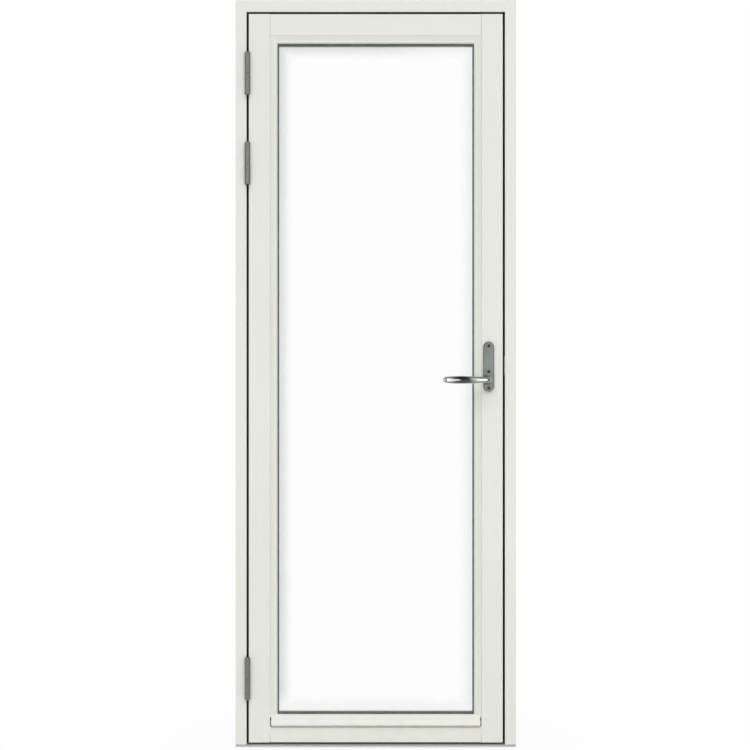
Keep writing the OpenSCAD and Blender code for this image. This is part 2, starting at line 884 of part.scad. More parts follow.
// A rail is cut square between the stiles in front, with eased ends, and between their lips behind
module rail_ends(z0, z1) {
    along_z(z0, z1) polygon([
        [-reb_x + ease, front_y - cut], [reb_x - ease, front_y - cut], [reb_x - ease, front_y],
        [reb_x, front_y + ease], [reb_x, lip_y], [lip_x, lip_y], [lip_x, leaf_back + cut],
        [-lip_x, leaf_back + cut], [-lip_x, lip_y], [-reb_x, lip_y], [-reb_x, front_y + ease],
        [-reb_x + ease, front_y]
    ]);
}

module top_rail() {
    a = arris;
    c = lip_chamfer;
    color(paint) {
        intersection() {
            along_x(-reb_x, reb_x) polygon(concat(
                [[front_y + ease, reb_hi], [lip_y, reb_hi], [lip_y, reb_hi - lip_w],
                 [leaf_back - c, reb_hi - lip_w], [leaf_back, reb_hi - lip_w + c]],
                arc(leaf_back - a, leaf_hi - a, a, 0, 90),
                arc(front_y + a, leaf_hi - a, a, 90, 180),
                [[front_y, reb_hi + ease]]
            ));
            rail_ends(reb_hi - lip_w - cut, leaf_hi + cut);
        }
        top_tenon();
        mirror([1, 0, 0]) top_tenon();
    }
}

module bottom_rail() {
    a = arris;
    c = lip_chamfer;
    face = leaf_lo + bottom_rail_face;
    k = drip_kerf;
    kerf = front_y + drip_kerf_back;
    color(paint) {
        intersection() {
            along_x(-reb_x, reb_x) polygon(concat(
                arc(front_y + a, leaf_lo + a, a, 180, 270),
                [[kerf, leaf_lo], [kerf, leaf_lo + k], [kerf + k, leaf_lo + k], [kerf + k, leaf_lo]],
                arc(leaf_back - a, leaf_lo + a, a, 270, 360),
                [[leaf_back, reb_lo + lip_w - c], [leaf_back - c, reb_lo + lip_w],
                 [lip_y, reb_lo + lip_w], [lip_y, reb_lo], [glass_front, reb_lo],
                 [glass_front, face], [front_y + ease, face], [front_y, face - ease]]
            ));
            rail_ends(leaf_lo - cut, reb_lo + lip_w + cut);
        }
        bottom_tenon();
        mirror([1, 0, 0]) bottom_tenon();
    }
}

module pane(y0) {
    x = reb_x - glass_clear;
    block([-x, y0, reb_lo + glass_clear], [x, y0 + pane_t, reb_hi - glass_clear]);
}

module outer_pane() {
    color(glass_tint, 0.35) pane(glass_front);
}

module inner_pane() {
    color(glass_tint, 0.35) pane(glass_back - pane_t);
}

// The spacer bar is a hollow section with its back to the sealant
module spacer_bar() {
    y0 = glass_front + pane_t;
    u0 = glass_clear + edge_seal_h;
    wall = 0.8;
    color(aluminium) mitred_ring(reb_x, reb_lo, reb_hi, u0 + spacer_h, y0, y0 + cavity) difference() {
        polygon([
            [u0, y0 + 1.5], [u0 + 1.5, y0], [u0 + spacer_h, y0],
            [u0 + spacer_h, y0 + cavity], [u0 + 1.5, y0 + cavity], [u0, y0 + cavity - 1.5]
        ]);
        translate([u0 + 1.5, y0 + 1.5]) square([spacer_h - 3 + wall, cavity - 3]);
    }
}

module edge_sealant() {
    y0 = glass_front + pane_t;
    u0 = glass_clear + edge_seal_h;
    color(dark_rubber) mitred_ring(reb_x, reb_lo, reb_hi, u0 + 1.5, y0, y0 + cavity) polygon([
        [glass_clear + 0.5, y0], [u0 + 1.5, y0], [u0, y0 + 1.5],
        [u0, y0 + cavity - 1.5], [u0 + 1.5, y0 + cavity], [glass_clear + 0.5, y0 + cavity]
    ]);
}

module front_gasket() {
    y0 = front_y + bead_d;
    u0 = bead_w - 7;
    u1 = bead_w + gasket_show;
    color(dark_rubber) mitred_ring(reb_x, reb_lo, reb_hi, u1, y0 - 1, y0 + gasket_t) polygon([
        [u0, y0], [bead_w, y0], [bead_w + 0.8, y0 - 0.8], [u1 - 1, y0 + gasket_t - 1.2],
        [u1, y0 + gasket_t], [u0, y0 + gasket_t]
    ]);
}

module back_tape() {
    u0 = lip_w - 11;
    color(dark_rubber) along_y(glass_back, glass_back + tape_t) difference() {
        inset_opening(u0);
        inset_opening(lip_w);
    }
}

// Packers that carry the glass at the bottom and centre it at the sides
module setting_blocks() {
    l = packer_l;
    color(packer_blue) {
        for (s = [-1, 1]) translate([s * (reb_x - packer_end), 0, 0])
            block([-l / 2, glass_front + 1, reb_lo], [l / 2, glass_back - 1, reb_lo + glass_clear]);
        for (s = [0, 1]) mirror([s, 0, 0]) for (z = [reb_lo + packer_end, reb_hi - packer_end])
            block([reb_x - glass_clear, glass_front + 1, z - l / 2], [reb_x, glass_back - 1, z + l / 2]);
    }
}

// Section of a glazing bead: a sloped face, a step, a narrow flat and a chamfered nose
module bead_section() {
    y = front_y;
    polygon([
        [touch, glass_front - touch], [touch, y + 0.8], [0.7, y + 0.4], [10.4, y + 5.6],
        [10.4, y + 6.8], [15.4, y + 7.6], [15.9, y + 8.6], [bead_w - 1, y + 10.6],
        [bead_w, y + bead_d], [bead_w - 7 - touch, y + bead_d], [bead_w - 7 - touch, glass_front - touch]
    ]);
}

// The side beads are scribed to the top of the drip bead
module side_bead() {
    difference() {
        translate([-reb_x, 0, reb_lo - bottom_rail_h]) mitred_side(
            reb_hi - reb_lo + bottom_rail_h, bead_w, front_y, glass_front) bead_section();
        block([-reb_x - cut, front_y - drip_out - cut, 0], [0, glass_front, leaf_lo + bottom_rail_face]);
        along_x(-reb_x - cut, 0) offset_drip_outline(touch);
    }
}

module left_bead() {
    color(paint) side_bead();
}

module right_bead() {
    color(paint) mirror([1, 0, 0]) side_bead();
}

module top_bead() {
    color(paint) translate([-reb_x, 0, reb_hi]) rotate([0, 90, 0])
        mitred_side(2 * reb_x, bead_w, front_y, glass_front) bead_section();
}

// Height at which the slope of the drip bead starts and ends
drip_face = leaf_lo + bottom_rail_face + touch;
drip_top = reb_lo + bead_w;
drip_under = drip_face + 8;
drip_slope_lo = drip_under + drip_nose_h;

// The drip bead's slope and back, grown by some clearance, with all below it
module offset_drip_outline(grow) {
    polygon([
        [front_y - drip_out - cut, drip_face - cut], [glass_front + cut, drip_face - cut],
        [glass_front + cut, drip_top + grow], [front_y + bead_d - grow, drip_top + grow],
        [front_y - drip_out + 1.5 - grow, drip_slope_lo + 1.5 + grow],
        [front_y - drip_out - cut, drip_slope_lo + grow]
    ]);
}

// Section of the drip bead: leg on the rail, undercut nose and a long slope up to the glass
module drip_section() {
    y = front_y;
    d = drip_out;
    polygon(concat(
        [[glass_front - touch, drip_face], [y + 0.3, drip_face], [y - 0.4, drip_face + 0.7],
         [y - 0.4, drip_under], [y - d + 5.5, drip_under], [y - d + 5.5, drip_under + 2],
         [y - d + 3, drip_under + 2], [y - d + 3, drip_under - 1]],
        arc(y - d + 1.2, drip_under + 0.2, 1.2, 270, 180, 3),
        arc(y - d + 1.8, drip_slope_lo - 0.2, 1.8, 180, 128, 4),
        [[y + bead_d - 1, drip_top], [y + bead_d, drip_top], [y + bead_d, drip_top - 7 - touch],
         [glass_front - touch, drip_top - 7 - touch]]
    ));
}

module drip_bead() {
    x = reb_x - drip_end_gap;
    color(paint) along_x(-x, x) drip_section();
}

// LOCK

// Pinion tooth half-angle at radius r, in degrees
base_r = pitch_r * cos(pressure);
function inv(a) = tan(a) * 180 / PI - a;
pitch_half = (tooth_pitch - backlash) / 4 / pitch_r * 180 / PI;
function half_at(r) = pitch_half + inv(pressure) - inv(acos(min(1, base_r / r)));

module pinion_outline() {
    tip_r = pitch_r + addendum;
    root_r = pitch_r - dedendum;
    steps = 5;
    flank = [for (i = [0:steps]) base_r + (tip_r - base_r) * i / steps];
    polygon([for (k = [0:teeth - 1]) let (c = 360 * k / teeth) each concat(
        [[root_r * cos(c - half_at(base_r)), root_r * sin(c - half_at(base_r))]],
        [for (r = flank) [r * cos(c - half_at(r)), r * sin(c - half_at(r))]],
        [for (i = [steps:-1:0]) let (r = flank[i]) [r * cos(c + half_at(r)), r * sin(c + half_at(r))]],
        [[root_r * cos(c + half_at(base_r)), root_r * sin(c + half_at(base_r))]]
    )]);
}

// Toothed edge of a rack along Y, from its end y1 down to y0: its pitch line is on x = 0, its teeth
// point towards -x, and a space between two teeth is centred on y = 0
function rack_edge(y0, y1) = let (
    t = (tooth_pitch - backlash) / 4,
    tip = t - addendum * tan(pressure),
    root = t + dedendum * tan(pressure),
    first = ceil((y0 + root) / tooth_pitch - 0.5),
    last = floor((y1 - root) / tooth_pitch - 0.5)
) concat(
    [[dedendum, y1]],
    [for (k = [last:-1:first]) let (c = (k + 0.5) * tooth_pitch) each
        [[dedendum, c + root], [-addendum, c + tip], [-addendum, c - tip], [dedendum, c - root]]],
    [[dedendum, y0]]
);

// The upper rod's rack lies on the lock side of the pinion and rises as the lever goes down
module upper_rod_outline() {
    rx = hub_x + pitch_r;
    low = -travel - rack_over;
    high = rack_over + rack_neck;
    jog = hub_z + jog_up;
    polygon(concat(
        [for (p = rack_edge(low, high)) [rx + p[0], hub_z + p[1]]],
        [[rx + rack_body, hub_z + low], [rx + rack_body, jog], [rod_x1, jog],
         [rod_x1, upper_tip - tip_soft], [rod_x1 - tip_soft, upper_tip],
         [rod_x0 + tip_soft, upper_tip], [rod_x0, upper_tip - tip_soft],
         [rod_x0, jog + jog_h], [rx + bar_x0, jog + jog_h], [rx + bar_x0, hub_z + high]]
    ));
}

// The lower rod's rack lies on the other side and falls
module lower_rod_outline() {
    rx = hub_x - pitch_r;
    low = -rack_over - rack_neck;
    high = travel + rack_over;
    jog = hub_z - jog_down;
    polygon(concat(
        [for (p = rack_edge(low, high)) [rx - p[0], hub_z + p[1]]],
        [[rx - bar_x0, hub_z + low], [rx - bar_x0, jog], [rod_x1, jog],
         [rod_x1, lower_tip + tip_soft], [rod_x1 - tip_soft, lower_tip],
         [rod_x0 + tip_soft, lower_tip], [rod_x0, lower_tip + tip_soft],
         [rod_x0, jog - jog_h], [rx - rack_body, jog - jog_h], [rx - rack_body, hub_z + high]]
    ));
}

// The bolt's rack lies under the pinion, and a web carries the bolt's head up beside it
module bolt_outline() {
    rz = hub_z - pitch_r;
    top = bolt_z + bolt_h / 2;
    low = bolt_z - bolt_h / 2;
    tail = -travel - rack_over;
    polygon(concat(
        [for (p = rack_edge(tail, rack_over)) [hub_x + p[1], rz - p[0]]],
        [[hub_x + tail, rz - rack_body], [web_x0 + web_w, rz - rack_body], [web_x0 + web_w, low],
         [bolt_x1 - tip_soft, low], [bolt_x1, low + tip_soft], [bolt_x1, top - tip_soft],
         [bolt_x1 - tip_soft, top], [web_x0, top], [web_x0, rz - dedendum]]
    ));
}

module upper_shoot_rod() {
    color(steel) along_y(rod_y0, rod_y1) upper_rod_outline();
}

module lower_shoot_rod() {
    color(steel) along_y(rod_y0, rod_y1) lower_rod_outline();
}

module side_bolt() {
    color(steel) along_y(bolt_y0, bolt_y1) bolt_outline();
}

module lock_pinion() {
    color(brass) difference() {
        union() {
            translate([hub_x, 0, hub_z]) along_y(case_in0 + 0.1, case_in1 - 0.1) pinion_outline();
            translate([hub_x, case_y1, hub_z]) rotate([90, 0, 0])
                cylinder(h = case_y1 - case_y0, r = boss_r);
        }
        spindle_hole(case_y0 - cut, case_y1 + cut);
    }
}

module spindle_hole(y0, y1) {
    s = spindle_s / 2 + spindle_socket;
    block([hub_x - s, y0, hub_z - s], [hub_x + s, y1, hub_z + s]);
}

module spindle() {
    s = spindle_s / 2;
    c = 0.8;
    inner_end = leaf_back + (front_y - spindle_end);
    color(steel) translate([hub_x, 0, hub_z]) along_y(spindle_end, inner_end)
        polygon([
            [-s, -s + c], [-s + c, -s], [s - c, -s], [s, -s + c],
            [s, s - c], [s - c, s], [-s + c, s], [-s, s - c]
        ]);
}

// Folded steel case, open towards the forend
module lock_case() {
    w = case_wall;
    pass = 0.4;
    color(zinc) difference() {
        block([case_x0, case_y0, case_z0], [case_x1, case_y1, case_z1]);
        block([case_x0 + w, case_in0, case_z0 + w], [case_x1 + cut, case_in1, case_z1 - w]);
        block([rod_x0 - pass, case_in0, case_z0 - cut], [rod_x1 + pass, rod_y1 + 0.2, case_z1 + cut]);
        translate([hub_x, case_y1 + cut, hub_z]) rotate([90, 0, 0])
            cylinder(h = case_y1 - case_y0 + 2 * cut, r = boss_r + 0.05);
        at_screw_pair() translate([0, case_y1 + cut, 0]) rotate([90, 0, 0])
            cylinder(h = case_y1 - case_y0 + 2 * cut, r = bolt_screw_r + 0.4);
    }
}

module forend_screw_set() {
    for (z = forend_screw_zs) translate([leaf_x, forend_screw_y, z]) rotate([0, 90, 0])
        screw(forend_screw_r, forend_screw_l, forend_head_r, forend_head_t);
}

module forend() {
    f = forend_w / 2;
    pass = 0.3;
    color(steel) difference() {
        block([case_x1, forend_y - f, leaf_lo + forend_end], [leaf_x, forend_y + f, leaf_hi - forend_end]);
        block([case_x1 - cut, bolt_y0 - pass, bolt_z - bolt_h / 2 - pass],
              [leaf_x + cut, bolt_y1 + pass, bolt_z + bolt_h / 2 + pass]);
        forend_screw_set();
    }
}

module forend_screws() {
    color(steel) forend_screw_set();
}

// HANDLE

module at_screw_pair() {
    for (s = [-1, 1]) translate([hub_x, 0, hub_z + s * screw_pitch / 2]) children();
}

// Places of the outer plate's top screw and of its match on the inner plate, as one wood screw each
module handle_wood_screw_pair() {
    z = hub_z + top_screw_up;
    translate([hub_x, plate_front, z]) rotate([90, 0, 0]) screw(wood_screw_r, wood_screw_l, head_r, head_t);
    translate([hub_x, leaf_back + hplate_t, z]) rotate([-90, 0, 0])
        screw(wood_screw_r, wood_screw_l, head_r, head_t);
}

// A slab with full round ends, lying on z = 0
module stadium(r, h, up, down) {
    translate([0, up, 0]) cylinder(h = h, r = r);
    translate([0, -down, 0]) cylinder(h = h, r = r);
    translate([-r, -down, 0]) cube([2 * r, up + down, h]);
}

// Handle plate lying on z = 0, its face towards +z and the spindle at the origin
module hplate_blank(bore_r) {
    r = hplate_w / 2;
    up = hplate_up - r;
    down = hplate_down - r;
    bevel = 2;
    difference() {
        union() {
            stadium(r, hplate_t - bevel, up, down);
            translate([0, 0, hplate_t - bevel]) {
                translate([0, up, 0]) cylinder(h = bevel, r1 = r, r2 = r - bevel);
                translate([0, -down, 0]) cylinder(h = bevel, r1 = r, r2 = r - bevel);
                translate([0, up, 0]) rotate([90, 0, 0]) linear_extrude(up + down)
                    polygon([[-r, 0], [r, 0], [r - bevel, bevel], [-r + bevel, bevel]]);
            }
            cylinder(h = hplate_t + boss_ring_h, r = boss_ring_r);
        }
        difference() {
            translate([0, 0, -cut]) stadium(r - hplate_wall, hplate_t - hplate_wall + cut, up, down);
            translate([0, 0, -2 * cut]) cylinder(h = hplate_t + cut, r = boss_ring_r);
            for (y = [-screw_pitch / 2, screw_pitch / 2, top_screw_up])
                translate([0, y, -2 * cut]) cylinder(h = hplate_t + cut, r = head_r + 1.2);
        }
        translate([0, 0, -3 * cut]) cylinder(h = hplate_t + boss_ring_h + 4 * cut, r = bore_r);
    }
}

module outer_handle_plate() {
    color(nickel) difference() {
        translate([hub_x, front_y, hub_z]) rotate([90, 0, 0]) hplate_blank(neck_r + 0.05);
        handle_wood_screw_pair();
        through_screw_pair();
    }
}

module inner_handle_plate() {
    color(nickel) difference() {
        union() {
            translate([hub_x, leaf_back, hub_z]) mirror([0, 1, 0]) rotate([90, 0, 0])
                hplate_blank(neck_r + 0.05);
            at_screw_pair() translate([0, leaf_back + 1, 0]) rotate([90, 0, 0])
                cylinder(h = 12, r = 4);
        }
        handle_wood_screw_pair();
        through_screw_pair();
    }
}

// Machine screws from the outer plate into the threaded posts of the inner one
module through_screw_pair() {
    end = leaf_back + hplate_t - 3;
    at_screw_pair() translate([0, plate_front, 0]) rotate([90, 0, 0]) {
        translate([0, 0, -head_t]) cylinder(h = head_t, r1 = bolt_screw_r, r2 = head_r);
        translate([0, 0, plate_front - end]) cylinder(h = end - plate_front - head_t, r = bolt_screw_r);
    }
}

module handle_through_screws() {
    color(steel) difference() {
        through_screw_pair();
        at_screw_pair() translate([0, plate_front, 0]) rotate([90, 0, 0]) cross_recess();
    }
}

module handle_wood_screws() {
    z = hub_z + top_screw_up;
    color(steel) difference() {
        handle_wood_screw_pair();
        translate([hub_x, plate_front, z]) rotate([90, 0, 0]) cross_recess();
        translate([hub_x, leaf_back + hplate_t, z]) rotate([-90, 0, 0]) cross_recess();
    }
}

// The lever's line in plan: out along the neck, round the bend, then a slow bow back to the door
bend_heading = 80;
tip_heading = 101;
neck_in = 4;
bend_l = PI / 180 * bend_heading * lever_bend_r;
bar_l = lever_l - lever_bend_r + 3;
bar_s = neck_in + bend_l;
lever_s = bar_s + bar_l;
tip_l = 8;
function heading(s) =
    s < neck_in ? 0 :
    s < bar_s ? (s - neck_in) / bend_l * bend_heading :
    bend_heading + (tip_heading - bend_heading) * (s - bar_s) / bar_l;
// Distances along the line at which a ring is drawn, close together in the bend and at the tip
stations = concat(
    [0],
    [for (i = [0:14]) neck_in + bend_l * i / 14],
    [for (i = [1:14]) bar_s + bar_l * 0.85 * i / 14],
    [for (i = [1:10]) bar_s + bar_l * (1 - 0.15 * pow(1 - i / 10, 2))]
);
rings = len(stations);
function along(i) = stations[min(i, rings - 1)];
lever_path = [for (i = 0, p = [0, 0]; i < rings;
    p = p - (along(i + 1) - along(i)) * [sin(heading((along(i) + along(i + 1)) / 2)),
                                         cos(heading((along(i) + along(i + 1)) / 2))],
    i = i + 1) p];
// Half height and half thickness along the lever by share of its length, rounded off at the tip
function tip_round(s) = let (u = max(0, (s - lever_s + tip_l) / tip_l)) sqrt(max(0.003, 1 - u * u));
function lever_high(s) = tip_round(s) * lookup(s / lever_s, [
    [0, neck_r - 0.1], [0.15, 8.3], [0.4, 9.8], [0.62, 10.9], [0.8, 10.4], [1, 8.2]]);
function lever_thick(s) = tip_round(s) * lookup(s / lever_s, [
    [0, neck_r - 0.1], [0.15, 7.6], [0.4, 6], [0.8, 5], [1, 4.4]]);

// The lever's bar as one skin of rings, from inside the neck to the rounded tip
module lever_bar() {
    sides = 24;
    pts = [for (i = [0:rings - 1]) let (
            s = stations[i], h = heading(s), c = lever_path[i], n = [-cos(h), sin(h)])
        for (k = [0:sides - 1]) let (a = 360 * k / sides)
            [c[0] + n[0] * lever_thick(s) * cos(a), c[1] + n[1] * lever_thick(s) * cos(a),
             lever_high(s) * sin(a)]];
    last = (rings - 1) * sides;
    faces = concat(
        [for (i = [0:rings - 2], k = [0:sides - 1]) let (k2 = (k + 1) % sides)
            [i * sides + k, i * sides + k2, (i + 1) * sides + k2, (i + 1) * sides + k]],
        [[for (k = [sides - 1:-1:0]) k]],
        [[for (k = [0:sides - 1]) last + k]]
    );
    polyhedron(pts, faces);
}

// A lever whose neck leaves the plate towards -Y, its spindle at x = 0 and z = 0
module lever(plate_y, seat_y) {
    root = seat_y + 0.5;
    difference() {
        union() {
            translate([0, root, 0]) rotate([90, 0, 0])
                cylinder(h = root - (plate_y - neck_l), r = neck_r);
            translate([0, plate_y - neck_l + neck_in - 0.5, 0]) lever_bar();
        }
        s = spindle_s / 2 + spindle_socket;
        block([-s, plate_y - 16, -s], [s, root + cut, s]);
        translate([0, plate_y - 6, -neck_r - cut]) cylinder(h = neck_r, r = 2);
    }
}

module outer_lever() {
    color(nickel) translate([hub_x, 0, hub_z]) lever(plate_front, front_y - 1);
}

module inner_lever() {
    shift = front_y + leaf_back;
    color(nickel) translate([hub_x, shift, hub_z]) mirror([0, 1, 0]) lever(plate_front, front_y - 1);
}

// Grub screws that lock the levers to the spindle
module lever_grub_screws() {
    low = neck_r - 0.5;
    y = plate_front - 6;
    inner_y = front_y + leaf_back - y;
    color(steel) for (yy = [y, inner_y]) translate([hub_x, yy, hub_z - low])
        cylinder(h = low - spindle_s / 2, r = 2);
}

hinge_jamb();
lock_jamb();
frame_head();
sill();
hinge_side_stop();
lock_side_stop();
head_stop();
threshold_stop();
frame_seal();
fixing_sleeves();
frame_corner_screws();
strike_plate();
head_keep();
sill_keep();
keep_screws();
top_hinge_frame_plate();
middle_hinge_frame_plate();
bottom_hinge_frame_plate();
hinge_pins();
hinge_washers();
hinge_frame_screws();
top_hinge_leaf_plate();
middle_hinge_leaf_plate();
bottom_hinge_leaf_plate();
hinge_leaf_screws();
hinge_stile();
lock_stile();
top_rail();
bottom_rail();
outer_pane();
inner_pane();
spacer_bar();
edge_sealant();
front_gasket();
back_tape();
setting_blocks();
left_bead();
right_bead();
top_bead();
drip_bead();
lock_case();
forend();
forend_screws();
outer_handle_plate();
inner_handle_plate();
handle_through_screws();
handle_wood_screws();
outer_lever();
inner_lever();
spindle();
lever_grub_screws();
lock_pinion();
side_bolt();
upper_shoot_rod();
lower_shoot_rod();
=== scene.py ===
"""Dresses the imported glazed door: painted timber, glass, seals, hinges, handle and lock."""

import json
import math

import bpy
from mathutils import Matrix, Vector

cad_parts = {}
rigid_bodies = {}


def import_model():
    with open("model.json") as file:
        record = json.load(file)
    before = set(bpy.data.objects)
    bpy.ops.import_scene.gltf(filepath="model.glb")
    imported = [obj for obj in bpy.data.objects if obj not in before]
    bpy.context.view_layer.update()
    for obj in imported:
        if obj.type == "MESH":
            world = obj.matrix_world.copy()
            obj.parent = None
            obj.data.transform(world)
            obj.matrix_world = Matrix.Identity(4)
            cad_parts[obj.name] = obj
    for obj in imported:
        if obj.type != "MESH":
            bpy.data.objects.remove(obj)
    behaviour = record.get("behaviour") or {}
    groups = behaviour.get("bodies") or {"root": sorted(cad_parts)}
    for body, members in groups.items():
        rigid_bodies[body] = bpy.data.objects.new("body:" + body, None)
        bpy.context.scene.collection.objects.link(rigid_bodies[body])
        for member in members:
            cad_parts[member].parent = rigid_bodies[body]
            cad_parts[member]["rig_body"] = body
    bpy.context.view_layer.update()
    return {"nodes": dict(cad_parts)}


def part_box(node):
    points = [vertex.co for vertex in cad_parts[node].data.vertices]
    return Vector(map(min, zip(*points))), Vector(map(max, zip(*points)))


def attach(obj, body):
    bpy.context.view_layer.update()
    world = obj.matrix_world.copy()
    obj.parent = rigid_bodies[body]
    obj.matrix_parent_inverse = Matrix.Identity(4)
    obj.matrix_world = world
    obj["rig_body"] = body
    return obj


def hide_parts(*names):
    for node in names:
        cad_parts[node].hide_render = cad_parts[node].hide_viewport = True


bl_info = {
    "name": "Glazed Door Dresser",
    "version": (1, 0, 0),
    "blender": (4, 5, 0),
    "location": "3D View > Sidebar > Door",
    "description": "Gives a glazed timber door in its frame its finishes, light and camera",
    "category": "Object",
}

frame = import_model()
NODES = frame["nodes"]
MM = 0.001

# Places that the finishes are set out from, read off the door's own pieces
LEAF_BOX = [Vector(corner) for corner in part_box("hinge_stile")]
LEAF_FRONT = LEAF_BOX[0].y
LEAF_LOW = LEAF_BOX[0].z
LEAF_HIGH = LEAF_BOX[1].z
FRAME_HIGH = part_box("frame_head")[1].z
GAP_IN = Vector((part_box("lock_stile")[1].x, 0, LEAF_HIGH))
GAP_OUT = Vector((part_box("frame_head")[1].x, 0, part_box("frame_head")[0].z))
PANE_LOW, PANE_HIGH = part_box("outer_pane")
JOINT_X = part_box("right_bead")[1].x
DRIP_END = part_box("drip_bead")[1].x
DRIP_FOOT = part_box("drip_bead")[0].z
HUB = (Vector(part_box("spindle")[0]) + Vector(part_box("spindle")[1])) / 2

# How far behind a face the painted shade in the gap ends, and the lightest that a paint is made
SKIN = 0.6 * MM
WHITEST = 0.94
WHITE = (1, 1, 1, 1)

FRAME_UPRIGHTS = ("hinge_jamb", "lock_jamb", "hinge_side_stop", "lock_side_stop")
FRAME_ACROSS = ("frame_head", "head_stop")
LEAF_UPRIGHTS = ("hinge_stile", "lock_stile")
LEAF_ACROSS = ("top_rail", "bottom_rail")
SIDE_BEADS = ("left_bead", "right_bead")
CROSS_BEADS = ("top_bead", "drip_bead")
HINGE_PLATES = tuple(
    f"{place}_hinge_{half}_plate"
    for place in ("top", "middle", "bottom") for half in ("frame", "leaf"))


# Shader wires


class Wire:
    """An output of a shader node, or a number, that works in Python sums."""

    def __init__(self, finish, socket):
        self.finish = finish
        self.socket = socket

    def maths(self, operation, *values):
        """The result of a Math node, whose values are Wires or numbers."""
        return self.finish.add("Math", {"operation": operation}, dict(enumerate(values)))

    def __add__(self, other):
        return self.maths("ADD", self, other)

    def __radd__(self, other):
        return self.maths("ADD", other, self)

    def __sub__(self, other):
        return self.maths("SUBTRACT", self, other)

    def __rsub__(self, other):
        return self.maths("SUBTRACT", other, self)

    def __mul__(self, other):
        return self.maths("MULTIPLY", self, other)

    def __rmul__(self, other):
        return self.maths("MULTIPLY", other, self)

    def __truediv__(self, other):
        return self.maths("DIVIDE", self, other)

    def __pow__(self, other):
        return self.maths("POWER", self, other)

    def size(self):
        """The value without its sign."""
        return self.maths("ABSOLUTE", self)

    def least(self, other):
        """The smaller of two."""
        return self.maths("MINIMUM", self, other)

    def most(self, other):
        """The larger of two."""
        return self.maths("MAXIMUM", self, other)

    def ramp(self, low, high, out_low=0.0, out_high=1.0):
        """Goes smoothly from out_low to out_high as the value goes from low to high."""
        return self.finish.add(
            "MapRange", {"interpolation_type": "SMOOTHSTEP", "clamp": True},
            {"Value": self, "From Min": low, "From Max": high,
             "To Min": out_low, "To Max": out_high})


class Finish:
    """A material that is built node by node round one surface shader."""

    def __init__(self, name):
        self.material = bpy.data.materials.new(name)
        self.material.use_nodes = True
        self.tree = self.material.node_tree
        self.shader = self.tree.nodes["Principled BSDF"]
        self.place = self.add("TexCoord", output="Object")

    def add(self, kind, settings=None, inputs=None, output=0):
        """Adds a node, sets it up first, then its inputs, and gives one output as a Wire."""
        node = self.tree.nodes.new("ShaderNode" + kind)
        for key, value in (settings or {}).items():
            setattr(node, key, value)
        for key, value in (inputs or {}).items():
            self.feed(node.inputs[key], value)
        return Wire(self, node.outputs[output])

    def feed(self, socket, value):
        """Links a Wire to a socket, or writes a plain value on it."""
        if isinstance(value, Wire):
            self.tree.links.new(value.socket, socket)
        else:
            socket.default_value = value

    def spread(self, scale, stretch=(1, 1, 1)):
        """Places for a pattern of so many grains a metre, drawn out by small stretch values."""
        return self.add("Mapping", {"vector_type": "POINT"},
                        {"Vector": self.place, "Scale": tuple(scale * s for s in stretch)})

    def noise(self, scale, stretch=(1, 1, 1), detail=3.0, distortion=0.0):
        """Cloudy noise."""
        return self.add("TexNoise", {"normalize": True},
                        {"Vector": self.spread(scale, stretch), "Scale": 1.0, "Detail": detail,
                         "Roughness": 0.55, "Distortion": distortion})

    def cells(self, scale):
        """Crystals: the distance to the nearest of scattered points."""
        return self.add("TexVoronoi", {"feature": "F1"},
                        {"Vector": self.spread(scale), "Scale": 1.0})

    def along(self, axis):
        """The object coordinate along X, Y or Z, in metres."""
        return self.add("SeparateXYZ", None, {"Vector": self.place}, output=axis)

    def blend(self, factor, first, second):
        """Mixes two colours, each a colour value or a Wire."""
        node = self.tree.nodes.new("ShaderNodeMix")
        node.data_type = "RGBA"
        self.feed(node.inputs[0], factor)
        self.feed(node.inputs[6], first)
        self.feed(node.inputs[7], second)
        return Wire(self, node.outputs[2])

    def set(self, **values):
        """Sets or feeds sockets of the surface shader by name, with _ for a space."""
        for key, value in values.items():
            self.feed(self.shader.inputs[key.replace("_", " ")], value)

    def relief(self, height, depth):
        """Bump of a given depth in metres."""
        bump = self.add("Bump", None, {"Height": height, "Distance": depth, "Strength": 1.0},
                        output="Normal")
        self.set(Normal=bump)


def toned(colour, share, lightest=1):
    """A colour made darker or lighter by a share."""
    return tuple(min(lightest, share * c) for c in colour)


def rgba(colour, share=1, lightest=1):
    """A colour for a shader's socket, made darker or lighter by a share."""
    return (*toned(colour, share, lightest), 1.0)


def stretch_for(axis, along, across=1.0):
    """Stretch values that draw a pattern out along one axis."""
    return tuple(along if i == "XYZ".index(axis) else across for i in range(3))


# Finishes


